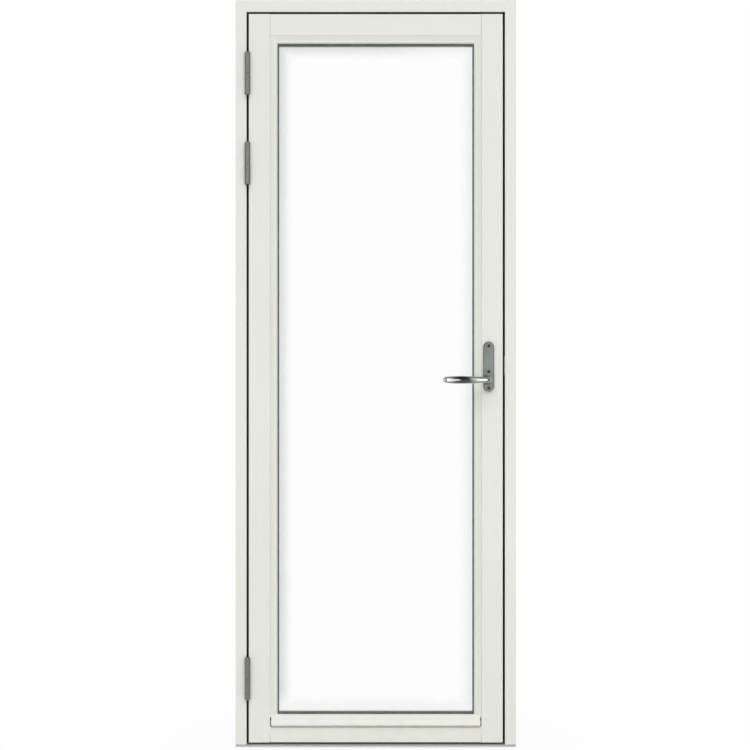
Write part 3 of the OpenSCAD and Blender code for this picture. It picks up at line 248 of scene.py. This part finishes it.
def painted_timber(name, axis, settings, gap_shade_amount, joint_dirt_and_drip_shade=0, painted_lift=1):
    """Satin paint over timber, whose grain just shows through along one axis."""
    f = Finish(name)
    height = f.along("Z")
    grain = f.noise(150, stretch_for(axis, 0.016), detail=4, distortion=0.3)
    brush = f.noise(420, stretch_for(axis, 0.05), detail=2)
    peel = f.noise(900, detail=2)
    cloud = f.noise(2.6, detail=2)
    low_splash = height.ramp(340 * MM, 20 * MM) * f.noise(26, detail=5).ramp(0.45, 0.75)
    # Painted light: a lift above one makes every tone lighter
    low, high, warm = (rgba(tone, painted_lift, WHITEST) for tone in (
        settings.low_tone, settings.high_tone, settings.warm_tone))
    # Painted light and shade: lighter towards the sill and darker towards the head, evening out the
    # lamps' light
    tone = f.blend(height.ramp(0.1, 2.05), low, high)
    tone = f.blend(cloud.ramp(0.35, 0.7, 0, 0.35), tone, warm)
    tone = f.blend(grain.ramp(0.4, 0.8, 0, 0.16), tone, rgba(settings.grain_tone))
    tone = f.blend(low_splash * settings.splash, tone, rgba(settings.dirt_and_shade_tone))
    # Dark joints, and painted shade under the drip bead's nose
    tone = f.blend(joint_and_drip_shade_mask(f) * joint_dirt_and_drip_shade, tone, rgba(settings.dirt_and_shade_tone))
    # Painted shade: the faces that line the gap round the leaf are darkened nearly to black
    tone = f.blend(gap_shade_mask(f) * gap_shade_amount, tone, rgba(settings.gap_shade_tone))
    f.set(Base_Color=tone, Roughness=0.36 + grain * 0.12 + cloud * 0.08 + low_splash * 0.2)
    f.set(Specular_IOR_Level=0.45)
    f.relief(grain * 0.6 + brush * 0.28 + peel * 0.12, settings.grain_depth)
    return f.material


def joint_and_drip_shade_mask(f):
    """One along the joints between stiles and rails, fading at the glass, and along a painted shade
    under the drip bead's nose.
    """
    off_line = (f.along("X").size() - JOINT_X).size()
    height = f.along("Z")
    near_ends = height.ramp(LEAF_LOW + 30 * MM, LEAF_LOW + 12 * MM).most(
        height.ramp(LEAF_HIGH - 80 * MM, LEAF_HIGH - 45 * MM))
    in_front = (f.along("Y") - LEAF_FRONT).size().ramp(6 * MM, 3 * MM)
    beneath = f.along("X").size().ramp(DRIP_END + 1 * MM, DRIP_END)
    # Painted shade along the rail under the drip bead's nose, at its joint with the bead
    shade_under_drip_nose = (height - DRIP_FOOT).size().ramp(3.4 * MM, 1.8 * MM) * in_front * beneath
    return (off_line.ramp(1.1 * MM, 0.5 * MM) * near_ends).most(shade_under_drip_nose)


def gap_shade_mask(f):
    """One on the faces that line the gap round the leaf, behind their front arrises, where shade is
    painted.
    """
    across = f.along("X").size()
    height = f.along("Z")
    beside = across.ramp(GAP_IN.x - SKIN, GAP_IN.x) * across.ramp(GAP_OUT.x, GAP_OUT.x + SKIN, 1, 0)
    above = height.ramp(GAP_IN.z - SKIN, GAP_IN.z) * height.ramp(GAP_OUT.z, GAP_OUT.z + SKIN, 1, 0)
    behind = f.along("Y").ramp(LEAF_FRONT + 2 * MM, LEAF_FRONT + 7 * MM)
    return beside.most(above * (across.ramp(GAP_OUT.x, GAP_OUT.x + SKIN, 1, 0))) * behind


def oiled_hardwood(name, settings):
    """Oiled hardwood with long grain along X."""
    f = Finish(name)
    rings = f.noise(60, stretch_for("X", 0.03), detail=6, distortion=0.8)
    pores = f.noise(900, stretch_for("X", 0.02), detail=2)
    tone = f.blend(rings.ramp(0.32, 0.68), rgba(settings.oak_dark), rgba(settings.oak_light))
    open_pore = (0.07, 0.035, 0.015)
    tone = f.blend(pores.ramp(0.55, 0.75, 0, 0.5), tone, rgba(open_pore))
    f.set(Base_Color=tone, Roughness=0.42 + rings * 0.15 + pores * 0.1)
    f.relief(pores * 0.7 + rings * 0.3, 0.2 * MM)
    return f.material


def metal_tone(f, colour, fine, cloud, mottle):
    """A metal's colour with cloudy tarnish and darker lines."""
    tone = f.blend(cloud.ramp(0.3, 0.7), rgba(colour, 1 - mottle), rgba(colour))
    return f.blend(fine.ramp(0.4, 0.7, 0, 0.25), tone, rgba(colour, 0.8))


def rolled_metal(name, colour, axis, rough, metallic=1.0, mottle=0.25, lines=900.0,
                 depth=0.03 * MM, uneven=0.1, shade_painter=None):
    """Metal with fine lines along one axis, cloudy tarnish, rubbed spots and perhaps a painted
    shade.
    """
    f = Finish(name)
    fine = f.noise(lines, stretch_for(axis, 0.02), detail=2)
    cloud = f.noise(38, detail=5)
    rubbed = f.noise(210, detail=3).ramp(0.58, 0.8)
    tone = metal_tone(f, colour, fine, cloud, mottle)
    if shade_painter:
        # Painted shade: where the given mask is one, the colour is darkened to 0.12 of the metal's
        tone = f.blend(shade_painter(f), tone, rgba(colour, 0.12))
    f.set(Base_Color=tone, Metallic=metallic,
          Roughness=rough + (fine + cloud - rubbed * 0.8) * uneven)
    f.relief(fine, depth)
    return f.material


def neck_painted_shade(f):
    """Painted shade that darkens a lever towards and over its neck."""
    return f.along("X").ramp(HUB.x - 14 * MM, HUB.x - 4 * MM, 0, 0.4)


def hub_painted_shadow(f):
    """Painted shadow of the lever on a handle plate, beside the lever's neck and under its bar."""
    across = f.along("X") - (HUB.x - 7 * MM)
    up = f.along("Z") - HUB.z
    return ((across * across + up * up) ** 0.5).ramp(18 * MM, 8 * MM, 0, 0.55)


def grimy_shaded_sill(name, colour):
    """Dull anodised metal with lines along X, and a darkened upper edge that is grime and painted
    shade under the leaf.
    """
    f = Finish(name)
    fine = f.noise(900, stretch_for("X", 0.02), detail=2)
    cloud = f.noise(38, detail=5)
    # Grime and painted shade: the upper edge, under the leaf, is darkened
    sill_grime_and_shade = f.along("Z").ramp(2.5 * MM, 5 * MM) * cloud.ramp(0.2, 0.6, 0.7, 1)
    grime_and_shade_tone = (0.13, 0.13, 0.115)
    tone = metal_tone(f, colour, fine, cloud, mottle=0.14)
    tone = f.blend(sill_grime_and_shade * 0.45, tone, rgba(grime_and_shade_tone))
    f.set(Base_Color=tone, Metallic=0.5 - sill_grime_and_shade * 0.3, Roughness=0.42 + fine * 0.1 + sill_grime_and_shade * 0.2)
    f.relief(fine, 0.03 * MM)
    return f.material


def plated_zinc(name, colour):
    """Dull plating with faint crystals, fingerprints and a chalky bloom."""
    f = Finish(name)
    crystals = f.cells(240)
    bloom = f.noise(70, detail=6)
    tone = f.blend(crystals.ramp(0.1, 0.8), rgba(colour), rgba(colour, 0.8))
    tone = f.blend(bloom.ramp(0.5, 0.8, 0, 0.4), tone, rgba(colour, 1.3))
    f.set(Base_Color=tone, Metallic=0.85, Roughness=0.34 + bloom * 0.2 + crystals * 0.1)
    f.relief(bloom * 0.7 + crystals * 0.3, 0.06 * MM)
    return f.material


def black_rubber(name, colour, rough=0.62):
    """Extruded rubber: soft grey bloom and fine drawn lines."""
    f = Finish(name)
    bloom = f.noise(55, detail=5)
    skin = f.noise(1500, detail=2)
    tone = f.blend(bloom.ramp(0.35, 0.75, 0, 0.8), rgba(colour), rgba(colour, 1.9))
    f.set(Base_Color=tone, Roughness=rough + bloom * 0.18)
    f.relief(skin * 0.6 + bloom * 0.4, 0.08 * MM)
    return f.material


def moulded_plastic(name, colour):
    """Plastic with faint flow clouds and a fine skin."""
    f = Finish(name)
    cloud = f.noise(40, detail=4)
    skin = f.noise(1200, detail=2)
    tone = f.blend(cloud.ramp(0.3, 0.7), rgba(colour), rgba(colour, 0.8))
    f.set(Base_Color=tone, Roughness=0.4 + cloud * 0.15)
    f.relief(skin, 0.06 * MM)
    return f.material


def float_glass(name, settings, shade):
    """Clear pane, with the rebate's soft shade along its edges and a trace of dust."""
    f = Finish(name)
    x = f.along("X").size()
    z = f.along("Z")
    above_foot = z - PANE_LOW.z
    edge = (PANE_HIGH.x - x).least(above_foot.least(PANE_HIGH.z - z))
    # The shade is deepest on the hinge side and at the top
    lock_side = f.along("X").ramp(0, 200 * MM, 1, 0.52)
    sheltered = lock_side.least(above_foot.ramp(20 * MM, 90 * MM, 0.32, 1))
    shadow = edge.ramp(settings.shade_start, settings.shade_end, 1, 0) * sheltered
    dust = f.noise(3.2, detail=7).ramp(0.5, 0.85)
    glance = f.add("LayerWeight", None, {"Blend": 0.42}, output="Fresnel")
    alpha = settings.clear_alpha + dust * 0.012 + shadow * shade + glance * 0.3
    tone = f.blend(shadow, rgba(settings.glass_tint), rgba(settings.shade_tint))
    f.set(Base_Color=tone, Alpha=alpha.least(0.9), Roughness=0.02 + dust * 0.05)
    f.set(IOR=1.5, Specular_IOR_Level=0.6)
    f.material.surface_render_method = "BLENDED"
    return f.material


# Meshes


def dress(name, material):
    """Gives a CAD node its finish."""
    slots = NODES[name].data.materials
    slots.clear()
    slots.append(material)


def deselect():
    """Leaves edit mode and lets go of everything."""
    if bpy.context.object is not None and bpy.context.object.mode != "OBJECT":
        bpy.ops.object.mode_set(mode="OBJECT")
    bpy.ops.object.select_all(action="DESELECT")


def choose(piece):
    """Makes a piece the only one that operators act on."""
    deselect()
    piece.select_set(True)
    bpy.context.view_layer.objects.active = piece


def finished_copy(node, material, soft=0.0, angle=32.0):
    """A smooth copy of a CAD node, its edges broken if soft is given, which then stands for it."""
    source = NODES[node]
    piece = bpy.data.objects.new(node + "_finished", source.data.copy())
    bpy.context.scene.collection.objects.link(piece)
    choose(piece)
    bpy.ops.object.mode_set(mode="EDIT")
    bpy.ops.mesh.select_all(action="SELECT")
    bpy.ops.mesh.remove_doubles(threshold=0.004 * MM)
    if soft:
        bpy.ops.mesh.dissolve_limited(angle_limit=math.radians(0.5))
    bpy.ops.object.mode_set(mode="OBJECT")
    if soft:
        bevel = piece.modifiers.new("broken_edges", "BEVEL")
        bevel.width = soft
        bevel.segments = 2
        bevel.limit_method = "ANGLE"
        bevel.angle_limit = math.radians(angle)
        bevel.use_clamp_overlap = True
        bpy.ops.object.modifier_apply(modifier=bevel.name)
    bpy.ops.object.shade_smooth_by_angle(angle=math.radians(angle))
    flats = piece.modifiers.new("flat_faces_first", "WEIGHTED_NORMAL")
    flats.keep_sharp = True
    flats.weight = 100
    bpy.ops.object.modifier_apply(modifier=flats.name)
    piece.data.materials.clear()
    piece.data.materials.append(material)
    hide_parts(node)
    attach(piece, source["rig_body"])
    return piece


# Settings


class DoorPaintSettings(bpy.types.PropertyGroup):
    """The paint on the timber, what weather and hands left on it, and the light and shade painted
    into it
    """

    # Painted light and shade: the upper tone is darker and the lower lighter, evening out the
    # lamps' light
    high_tone: bpy.props.FloatVectorProperty(
        name="Upper tone", description="Colour of the paint near the head",
        subtype="COLOR", size=3, min=0, max=1, default=(0.775, 0.785, 0.735))
    low_tone: bpy.props.FloatVectorProperty(
        name="Lower tone", description="Colour of the paint near the sill",
        subtype="COLOR", size=3, min=0, max=1, default=(0.86, 0.868, 0.81))
    warm_tone: bpy.props.FloatVectorProperty(
        name="Aged tone", description="Colour of the slightly yellowed patches",
        subtype="COLOR", size=3, min=0, max=1, default=(0.80, 0.79, 0.72))
    grain_tone: bpy.props.FloatVectorProperty(
        name="Grain tone", description="Colour of the paint where grain shows through",
        subtype="COLOR", size=3, min=0, max=1, default=(0.69, 0.69, 0.63))
    # Colour of the rain splash, and also of the joints and the painted shade under the drip bead
    dirt_and_shade_tone: bpy.props.FloatVectorProperty(
        name="Splash and shade tone", description="Colour of the rain splash near the sill",
        subtype="COLOR", size=3, min=0, max=1, default=(0.52, 0.50, 0.43))
    splash: bpy.props.FloatProperty(
        name="Splash", description="How much of the paint near the sill the rain splash covers",
        min=0, max=1, default=0.09)
    # Painted light: the sloping top bead and drip bead are painted lighter, for the light they
    # catch from above and below
    bead_painted_light: bpy.props.FloatProperty(
        name="Bead painted light", description="How much lighter, as painted light, are the top bead and the drip bead",
        min=0.5, max=1.5, default=1.11)
    # Also sets how dark the painted shade under the drip bead's nose is
    joint_dirt_and_drip_shade: bpy.props.FloatProperty(
        name="Joint dirt and drip shade", description="How dark the joints between stiles and rails, and the painted shade under the drip bead, are",
        min=0, max=1, default=0.8)
    # Painted shade: colour and amount of the near-black shade painted on the faces in the gap
    gap_shade_tone: bpy.props.FloatVectorProperty(
        name="Gap tone", description="Colour of the painted shade on the faces that line the gap",
        subtype="COLOR", size=3, min=0, max=1, default=(0.035, 0.035, 0.032))
    gap_shade_amount: bpy.props.FloatProperty(
        name="Gap shade", description="How much of the paint in the gap the painted shade covers",
        min=0, max=1, default=0.85)
    grain_depth: bpy.props.FloatProperty(
        name="Grain depth", description="Depth of the grain in the paint",
        subtype="DISTANCE", unit="LENGTH", min=0, max=0.001, default=0.00022)


class DoorWoodSettings(bpy.types.PropertyGroup):
    """The oiled hardwood of the threshold"""

    oak_dark: bpy.props.FloatVectorProperty(
        name="Late wood", description="Dark tone of the threshold's grain",
        subtype="COLOR", size=3, min=0, max=1, default=(0.20, 0.105, 0.045))
    oak_light: bpy.props.FloatVectorProperty(
        name="Early wood", description="Light tone of the threshold's grain",
        subtype="COLOR", size=3, min=0, max=1, default=(0.42, 0.25, 0.12))


class DoorGlassSettings(bpy.types.PropertyGroup):
    """The panes and the shade along their edges"""

    glass_tint: bpy.props.FloatVectorProperty(
        name="Glass tint", description="Faint colour of the panes",
        subtype="COLOR", size=3, min=0, max=1, default=(0.96, 0.98, 0.975))
    shade_tint: bpy.props.FloatVectorProperty(
        name="Edge shade", description="Colour of the shade along the panes' edges",
        subtype="COLOR", size=3, min=0, max=1, default=(0.33, 0.40, 0.43))
    clear_alpha: bpy.props.FloatProperty(
        name="Clear alpha", description="Share of light that the middle of a pane stops",
        min=0, max=1, default=0.007)
    shade_start: bpy.props.FloatProperty(
        name="Shade start", description="Distance from the pane's edge where the shade is full",
        subtype="DISTANCE", unit="LENGTH", min=0, max=0.1, default=0.018)
    shade_end: bpy.props.FloatProperty(
        name="Shade end", description="Distance from the pane's edge where the shade is gone",
        subtype="DISTANCE", unit="LENGTH", min=0, max=0.2, default=0.065)


class DoorMetalSettings(bpy.types.PropertyGroup):
    """The metals of the fittings, the fasteners and the sill"""

    nickel: bpy.props.FloatVectorProperty(
        name="Satin nickel", description="Colour of the levers and their plates",
        subtype="COLOR", size=3, min=0, max=1, default=(0.60, 0.635, 0.605))
    zinc: bpy.props.FloatVectorProperty(
        name="Plated zinc", description="Colour of the hinges, case and strike",
        subtype="COLOR", size=3, min=0, max=1, default=(0.28, 0.285, 0.243))
    steel: bpy.props.FloatVectorProperty(
        name="Bright steel", description="Colour of the screws, pins, rods and bolt",
        subtype="COLOR", size=3, min=0, max=1, default=(0.42, 0.42, 0.41))
    brass: bpy.props.FloatVectorProperty(
        name="Brass", description="Colour of the pinion and the hinge washers",
        subtype="COLOR", size=3, min=0, max=1, default=(0.60, 0.44, 0.20))
    aluminium: bpy.props.FloatVectorProperty(
        name="Aluminium", description="Colour of the sill",
        subtype="COLOR", size=3, min=0, max=1, default=(0.74, 0.75, 0.74))
    broken_edge: bpy.props.FloatProperty(
        name="Broken edge", description="Width of the small bevel on metal edges",
        subtype="DISTANCE", unit="LENGTH", min=0, max=0.002, default=0.0003)


class DoorStudioSettings(bpy.types.PropertyGroup):
    """The camera, the lamps and the room that metal mirrors"""

    camera_distance: bpy.props.FloatProperty(
        name="Camera distance", description="From the camera to the leaf's front face",
        subtype="DISTANCE", unit="LENGTH", min=1, max=12, default=5)
    picture_width: bpy.props.FloatProperty(
        name="Picture width", description="Width that the picture covers at the leaf's front face",
        subtype="DISTANCE", unit="LENGTH", min=0.5, max=6, default=2.08695)
    camera_x: bpy.props.FloatProperty(
        name="Camera X", description="Place of the camera across the door",
        subtype="DISTANCE", unit="LENGTH", min=-1, max=1, default=-0.0021)
    camera_z: bpy.props.FloatProperty(
        name="Camera Z", description="Height of the camera above the sill's underside",
        subtype="DISTANCE", unit="LENGTH", min=0, max=3, default=1.0365)
    key_level: bpy.props.FloatProperty(
        name="Key level", description="Brightness of the large soft lamp on the lock side",
        min=0, max=20, default=1.23)
    fill_level: bpy.props.FloatProperty(
        name="Fill level", description="Brightness of the soft lamp on the hinge side",
        min=0, max=20, default=1.28)
    top_level: bpy.props.FloatProperty(
        name="Top level", description="Brightness of the soft lamp overhead",
        min=0, max=20, default=2.85)
    room_level: bpy.props.FloatProperty(
        name="Room level", description="Level of the light that comes from all round",
        min=0, max=2, default=0.42)
    room_shade: bpy.props.FloatProperty(
        name="Room shade", description="What metal mirrors of the room straight in front",
        min=0, max=1, default=0.03)
    room_walls: bpy.props.FloatProperty(
        name="Room walls", description="What metal mirrors of the room's bright sides",
        min=0, max=4, default=1.6)


# Operators


class DOOR_OT_frame_timber(bpy.types.Operator):
    """Paints the jambs, the head and the stops of the frame"""

    bl_idname = "door.frame_timber"
    bl_label = "Frame timber"

    def execute(self, context):
        paint = context.scene.door_paint
        # The frame's faces in the gap round the leaf get painted shade
        upright = painted_timber("frame_paint_upright", "Z", paint, paint.gap_shade_amount)
        across = painted_timber("frame_paint_across", "X", paint, paint.gap_shade_amount)
        for name in FRAME_UPRIGHTS:
            dress(name, upright)
        for name in FRAME_ACROSS:
            dress(name, across)
        return {"FINISHED"}


class DOOR_OT_sill(bpy.types.Operator):
    """Finishes the ribbed sill and the hardwood stop behind the leaf"""

    bl_idname = "door.sill"
    bl_label = "Sill"

    def execute(self, context):
        metal = context.scene.door_metal
        dress("sill", grimy_shaded_sill("sill_aluminium", metal.aluminium))
        dress("threshold_stop", oiled_hardwood("threshold_oak", context.scene.door_wood))
        return {"FINISHED"}


class DOOR_OT_leaf_timber(bpy.types.Operator):
    """Paints the stiles and rails of the leaf"""

    bl_idname = "door.leaf_timber"
    bl_label = "Leaf timber"

    def execute(self, context):
        paint = context.scene.door_paint
        # The leaf's edges get less painted shade in the gap than the frame's
        leaf_edge_shade = paint.gap_shade_amount * 0.6
        upright = painted_timber("leaf_paint_upright", "Z", paint, leaf_edge_shade, paint.joint_dirt_and_drip_shade)
        across = painted_timber("leaf_paint_across", "X", paint, leaf_edge_shade, paint.joint_dirt_and_drip_shade)
        for name in LEAF_UPRIGHTS:
            dress(name, upright)
        for name in LEAF_ACROSS:
            dress(name, across)
        return {"FINISHED"}


class DOOR_OT_beads(bpy.types.Operator):
    """Paints the glazing beads and the drip bead"""

    bl_idname = "door.beads"
    bl_label = "Glazing beads"

    def execute(self, context):
        paint = context.scene.door_paint
        upright = painted_timber("bead_paint_upright", "Z", paint, gap_shade_amount=0)
        # Painted light: the cross beads' paint is made lighter
        across = painted_timber("bead_paint_across", "X", paint, gap_shade_amount=0,
                                joint_dirt_and_drip_shade=paint.joint_dirt_and_drip_shade, painted_lift=paint.bead_painted_light)
        for names, material in ((SIDE_BEADS, upright), (CROSS_BEADS, across)):
            for name in names:
                dress(name, material)
        return {"FINISHED"}


class DOOR_OT_glazing(bpy.types.Operator):
    """Finishes the panes, the spacer bar, the sealant and the setting blocks"""

    bl_idname = "door.glazing"
    bl_label = "Glazing"

    def execute(self, context):
        glass = context.scene.door_glass
        dress("outer_pane", float_glass("outer_glass", glass, shade=0.145))
        dress("inner_pane", float_glass("inner_glass", glass, shade=0.03))
        dress("spacer_bar",
              rolled_metal("spacer_aluminium", (0.5, 0.51, 0.52), "Z", rough=0.4, metallic=0.9))
        dress("edge_sealant", black_rubber("edge_sealant_black", (0.02, 0.02, 0.022)))
        dress("setting_blocks", moulded_plastic("setting_block_plastic", (0.10, 0.17, 0.28)))
        return {"FINISHED"}


class DOOR_OT_seals(bpy.types.Operator):
    """Finishes the gasket round the glass, the tape behind it and the frame's seal"""

    bl_idname = "door.seals"
    bl_label = "Seals"

    def execute(self, context):
        dress("front_gasket", black_rubber("gasket_rubber", (0.115, 0.125, 0.117), rough=0.5))
        dress("back_tape", black_rubber("back_tape_rubber", (0.04, 0.043, 0.042)))
        dress("frame_seal", black_rubber("frame_seal_rubber", (0.016, 0.017, 0.016)))
        return {"FINISHED"}


class DOOR_OT_hinges(bpy.types.Operator):
    """Finishes the hinge halves, their pins and washers"""

    bl_idname = "door.hinges"
    bl_label = "Hinges"

    def execute(self, context):
        metal = context.scene.door_metal
        zinc = plated_zinc("hinge_zinc", metal.zinc)
        for name in HINGE_PLATES:
            finished_copy(name, zinc, metal.broken_edge)
        dress("hinge_pins", rolled_metal("pin_steel", metal.steel, "Z", rough=0.3))
        tarnished = tuple(0.4 * c + 0.2 for c in metal.brass)
        dress("hinge_washers", rolled_metal("washer_brass", tarnished, "X", rough=0.3))
        return {"FINISHED"}


class DOOR_OT_handle(bpy.types.Operator):
    """Finishes the levers, their plates and the spindle"""

    bl_idname = "door.handle"
    bl_label = "Handle"

    def execute(self, context):
        metal = context.scene.door_metal
        lever = rolled_metal("lever_nickel", metal.nickel, "X", rough=0.06, mottle=0.14,
                             lines=1400, depth=0.003 * MM, uneven=0.04, shade_painter=neck_painted_shade)
        # Painted shade: the plates take the levers' nickel darkened to under half
        plate = rolled_metal("plate_nickel", toned(metal.nickel, 0.475), "Z", rough=0.3,
                             mottle=0.2, lines=1400, depth=0.02 * MM, shade_painter=hub_painted_shadow)
        for name in ("outer_lever", "inner_lever"):
            finished_copy(name, lever, angle=40)
        for name in ("outer_handle_plate", "inner_handle_plate"):
            finished_copy(name, plate, metal.broken_edge)
        steel = rolled_metal("spindle_steel", metal.steel, "Y", rough=0.35)
        dress("spindle", steel)
        dress("lever_grub_screws", steel)
        return {"FINISHED"}


class DOOR_OT_lock(bpy.types.Operator):
    """Finishes the lock case, forend, bolt, rods, pinion, strike and keeps"""

    bl_idname = "door.lock"
    bl_label = "Lock"

    def execute(self, context):
        metal = context.scene.door_metal
        zinc = plated_zinc("lock_zinc", toned(metal.zinc, 1.75))
        rod = rolled_metal("rod_steel", metal.steel, "Z", rough=0.32)
        for name in ("lock_case", "strike_plate", "head_keep", "sill_keep", "fixing_sleeves"):
            dress(name, zinc)
        dress("forend",
              rolled_metal("forend_steel", metal.aluminium, "Z", rough=0.36, mottle=0.12))
        for name in ("side_bolt", "upper_shoot_rod", "lower_shoot_rod"):
            dress(name, rod)
        dress("lock_pinion", rolled_metal("pinion_brass", metal.brass, "Y", rough=0.28))
        return {"FINISHED"}


class DOOR_OT_fasteners(bpy.types.Operator):
    """Finishes the screws"""

    bl_idname = "door.fasteners"
    bl_label = "Fasteners"

    def execute(self, context):
        metal = context.scene.door_metal
        bright = rolled_metal("screw_steel", metal.steel, "X", rough=0.34)
        dull = rolled_metal("plate_screw_steel", toned(metal.steel, 0.2), "X", rough=0.42)
        for name in ("frame_corner_screws", "keep_screws", "hinge_frame_screws",
                     "hinge_leaf_screws", "forend_screws"):
            dress(name, bright)
        for name in ("handle_through_screws", "handle_wood_screws"):
            dress(name, dull)
        return {"FINISHED"}


class DOOR_OT_stage(bpy.types.Operator):
    """Lays the pale floor, lights the door softly and sets the camera"""

    bl_idname = "door.stage"
    bl_label = "Stage"

    def execute(self, context):
        studio = context.scene.door_studio
        lay_floor()
        light_room(studio)
        place_lamp("key", place=(2.5, -4.4, 0.6), size=(2.6, 2.8), level=studio.key_level)
        place_lamp("fill", place=(-1.25, -4.4, 0.6), size=(2.0, 2.8), level=studio.fill_level)
        overhead = place_lamp("top", place=(0, -6, 7.2), size=(8, 5), level=studio.top_level)
        overhead.visible_glossy = False
        place_camera(studio)
        return {"FINISHED"}


def lay_floor():
    """A pale floor that the camera sees almost white, and that metal in front mirrors dimmer."""
    deselect()
    bpy.ops.mesh.primitive_plane_add(size=40, location=(0, 0, -1 * MM))
    floor = bpy.context.object
    floor.name = "studio_floor"
    f = Finish("floor_pale")
    grain = f.noise(6, detail=3)
    f.set(Base_Color=f.blend(grain, (0.86, 0.86, 0.86, 1), (0.9, 0.9, 0.9, 1)), Roughness=0.9)
    seen = background_ray(f)
    # The lever mirrors the floor in front dim, between the room's two bright sides
    ahead = f.along("Y")
    slant = (f.along("X") - HUB.x) / ahead.size().most(0.1)
    walls = bright_walls(slant) * ahead.ramp(-1.0, -1.6)
    dimmed = f.add("LightPath", output="Is Glossy Ray") * ahead.ramp(-0.2, -0.6)
    glow = f.add("Emission", None,
                 {"Color": WHITE, "Strength": 1 - dimmed * (0.88 - walls * 1.3)})
    away = f.add("VectorMath", {"operation": "LENGTH"}, {0: f.place}, output="Value")
    mixed = f.add("MixShader", None, {0: seen * away.ramp(0.2, 0.8, 0.9, 1),
                                      1: Wire(f, f.shader.outputs[0]), 2: glow})
    f.feed(f.tree.nodes["Material Output"].inputs["Surface"], mixed)
    floor.data.materials.append(f.material)


def background_ray(f):
    """One for rays that show the background: straight, mirrored or through glass."""
    camera = f.add("LightPath", output="Is Camera Ray")
    glossy = f.add("LightPath", output="Is Glossy Ray")
    through = f.add("LightPath", output="Is Transmission Ray")
    return (camera + glossy + through).least(1.0)


class Room(Finish):
    """The world's nodes, built as a material's are."""

    def __init__(self, world):
        world.use_nodes = True
        self.tree = world.node_tree
        self.shader = self.tree.nodes["Background"]


def bright_walls(slant):
    """One for directions into the room's bright sides, and nought straight in front."""
    left = slant.ramp(-0.2, -0.4)
    right = slant.ramp(0.06, 0.19)
    return left.most(right) * slant.size().ramp(0.8, 1.6, 1, 0.12)


def light_room(studio):
    """Even light from all round; metal mirrors a dim room in front with a bright wall each side."""
    world = bpy.data.worlds.new("studio_room")
    bpy.context.scene.world = world
    room = Room(world)
    glossy = room.add("LightPath", output="Is Glossy Ray")
    ray = room.add("TexCoord", output="Generated")
    across, ahead, up = (room.add("SeparateXYZ", None, {"Vector": ray}, output=axis)
                         for axis in "XYZ")
    in_front = glossy * ahead.ramp(-0.02, -0.12)
    walls = bright_walls(across / ahead.size().most(0.02)) * up.ramp(0.4, 0.7, 1, 0.15)
    mirrored = studio.room_shade + walls * studio.room_walls
    seen = background_ray(room) * (1 - in_front)
    room.feed(room.shader.inputs["Color"], WHITE)
    level = studio.room_level * (1 - in_front) + in_front * mirrored
    room.feed(room.shader.inputs["Strength"], seen.most(level))


def place_lamp(name, place, size, level):
    """A rectangular soft lamp of a given brightness that faces the middle of the door."""
    data = bpy.data.lights.new(name, "AREA")
    data.shape = "RECTANGLE"
    data.size, data.size_y = size
    data.energy = level * math.pi * size[0] * size[1]
    lamp = bpy.data.objects.new(name, data)
    lamp.location = place
    aim = Vector((0, 0, FRAME_HIGH / 2)) - Vector(place)
    lamp.rotation_euler = aim.to_track_quat("-Z", "Y").to_euler()
    bpy.context.scene.collection.objects.link(lamp)
    return lamp


def place_camera(studio):
    """The camera looks straight at the door from in front."""
    data = bpy.data.cameras.new("camera")
    data.sensor_fit = "HORIZONTAL"
    data.sensor_width = 36
    data.lens = data.sensor_width * studio.camera_distance / studio.picture_width
    data.clip_end = 60
    camera = bpy.data.objects.new("camera", data)
    camera.location = (studio.camera_x, LEAF_FRONT - studio.camera_distance, studio.camera_z)
    camera.rotation_euler = (math.radians(90), 0, 0)
    bpy.context.scene.collection.objects.link(camera)
    bpy.context.scene.camera = camera


class DOOR_PT_dresser(bpy.types.Panel):
    """Lists the operators and their settings in the sidebar"""

    bl_label = "Glazed door"
    bl_idname = "DOOR_PT_dresser"
    bl_space_type = "VIEW_3D"
    bl_region_type = "UI"
    bl_category = "Door"

    def draw(self, context):
        column = self.layout.column(align=True)
        for operator in OPERATORS:
            column.operator(operator.bl_idname, text=operator.bl_label)
        for group in SETTINGS:
            box = self.layout.box()
            settings = getattr(context.scene, group)
            for name in settings.__annotations__:
                box.prop(settings, name)


OPERATORS = (
    DOOR_OT_frame_timber, DOOR_OT_sill, DOOR_OT_leaf_timber, DOOR_OT_beads, DOOR_OT_glazing,
    DOOR_OT_seals, DOOR_OT_hinges, DOOR_OT_handle, DOOR_OT_lock, DOOR_OT_fasteners,
    DOOR_OT_stage,
)
SETTINGS = {
    "door_paint": DoorPaintSettings,
    "door_wood": DoorWoodSettings,
    "door_glass": DoorGlassSettings,
    "door_metal": DoorMetalSettings,
    "door_studio": DoorStudioSettings,
}


def register():
    """Makes the settings, the operators and the panel known."""
    for group in SETTINGS.values():
        bpy.utils.register_class(group)
    for operator in OPERATORS:
        bpy.utils.register_class(operator)
    bpy.utils.register_class(DOOR_PT_dresser)
    for name, group in SETTINGS.items():
        setattr(bpy.types.Scene, name, bpy.props.PointerProperty(type=group))


def unregister():
    """Takes back what register made known, in the opposite order."""
    for name in SETTINGS:
        delattr(bpy.types.Scene, name)
    bpy.utils.unregister_class(DOOR_PT_dresser)
    for operator in reversed(OPERATORS):
        bpy.utils.unregister_class(operator)
    for group in reversed(list(SETTINGS.values())):
        bpy.utils.unregister_class(group)


def main():
    """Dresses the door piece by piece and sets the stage."""
    register()
    bpy.context.scene.view_settings.view_transform = "Standard"
    bpy.ops.door.frame_timber()
    bpy.ops.door.sill()
    bpy.ops.door.leaf_timber()
    bpy.ops.door.beads()
    bpy.ops.door.glazing()
    bpy.ops.door.seals()
    bpy.ops.door.hinges()
    bpy.ops.door.handle()
    bpy.ops.door.lock()
    bpy.ops.door.fasteners()
    bpy.ops.door.stage()


if __name__ == "__main__":
    main()
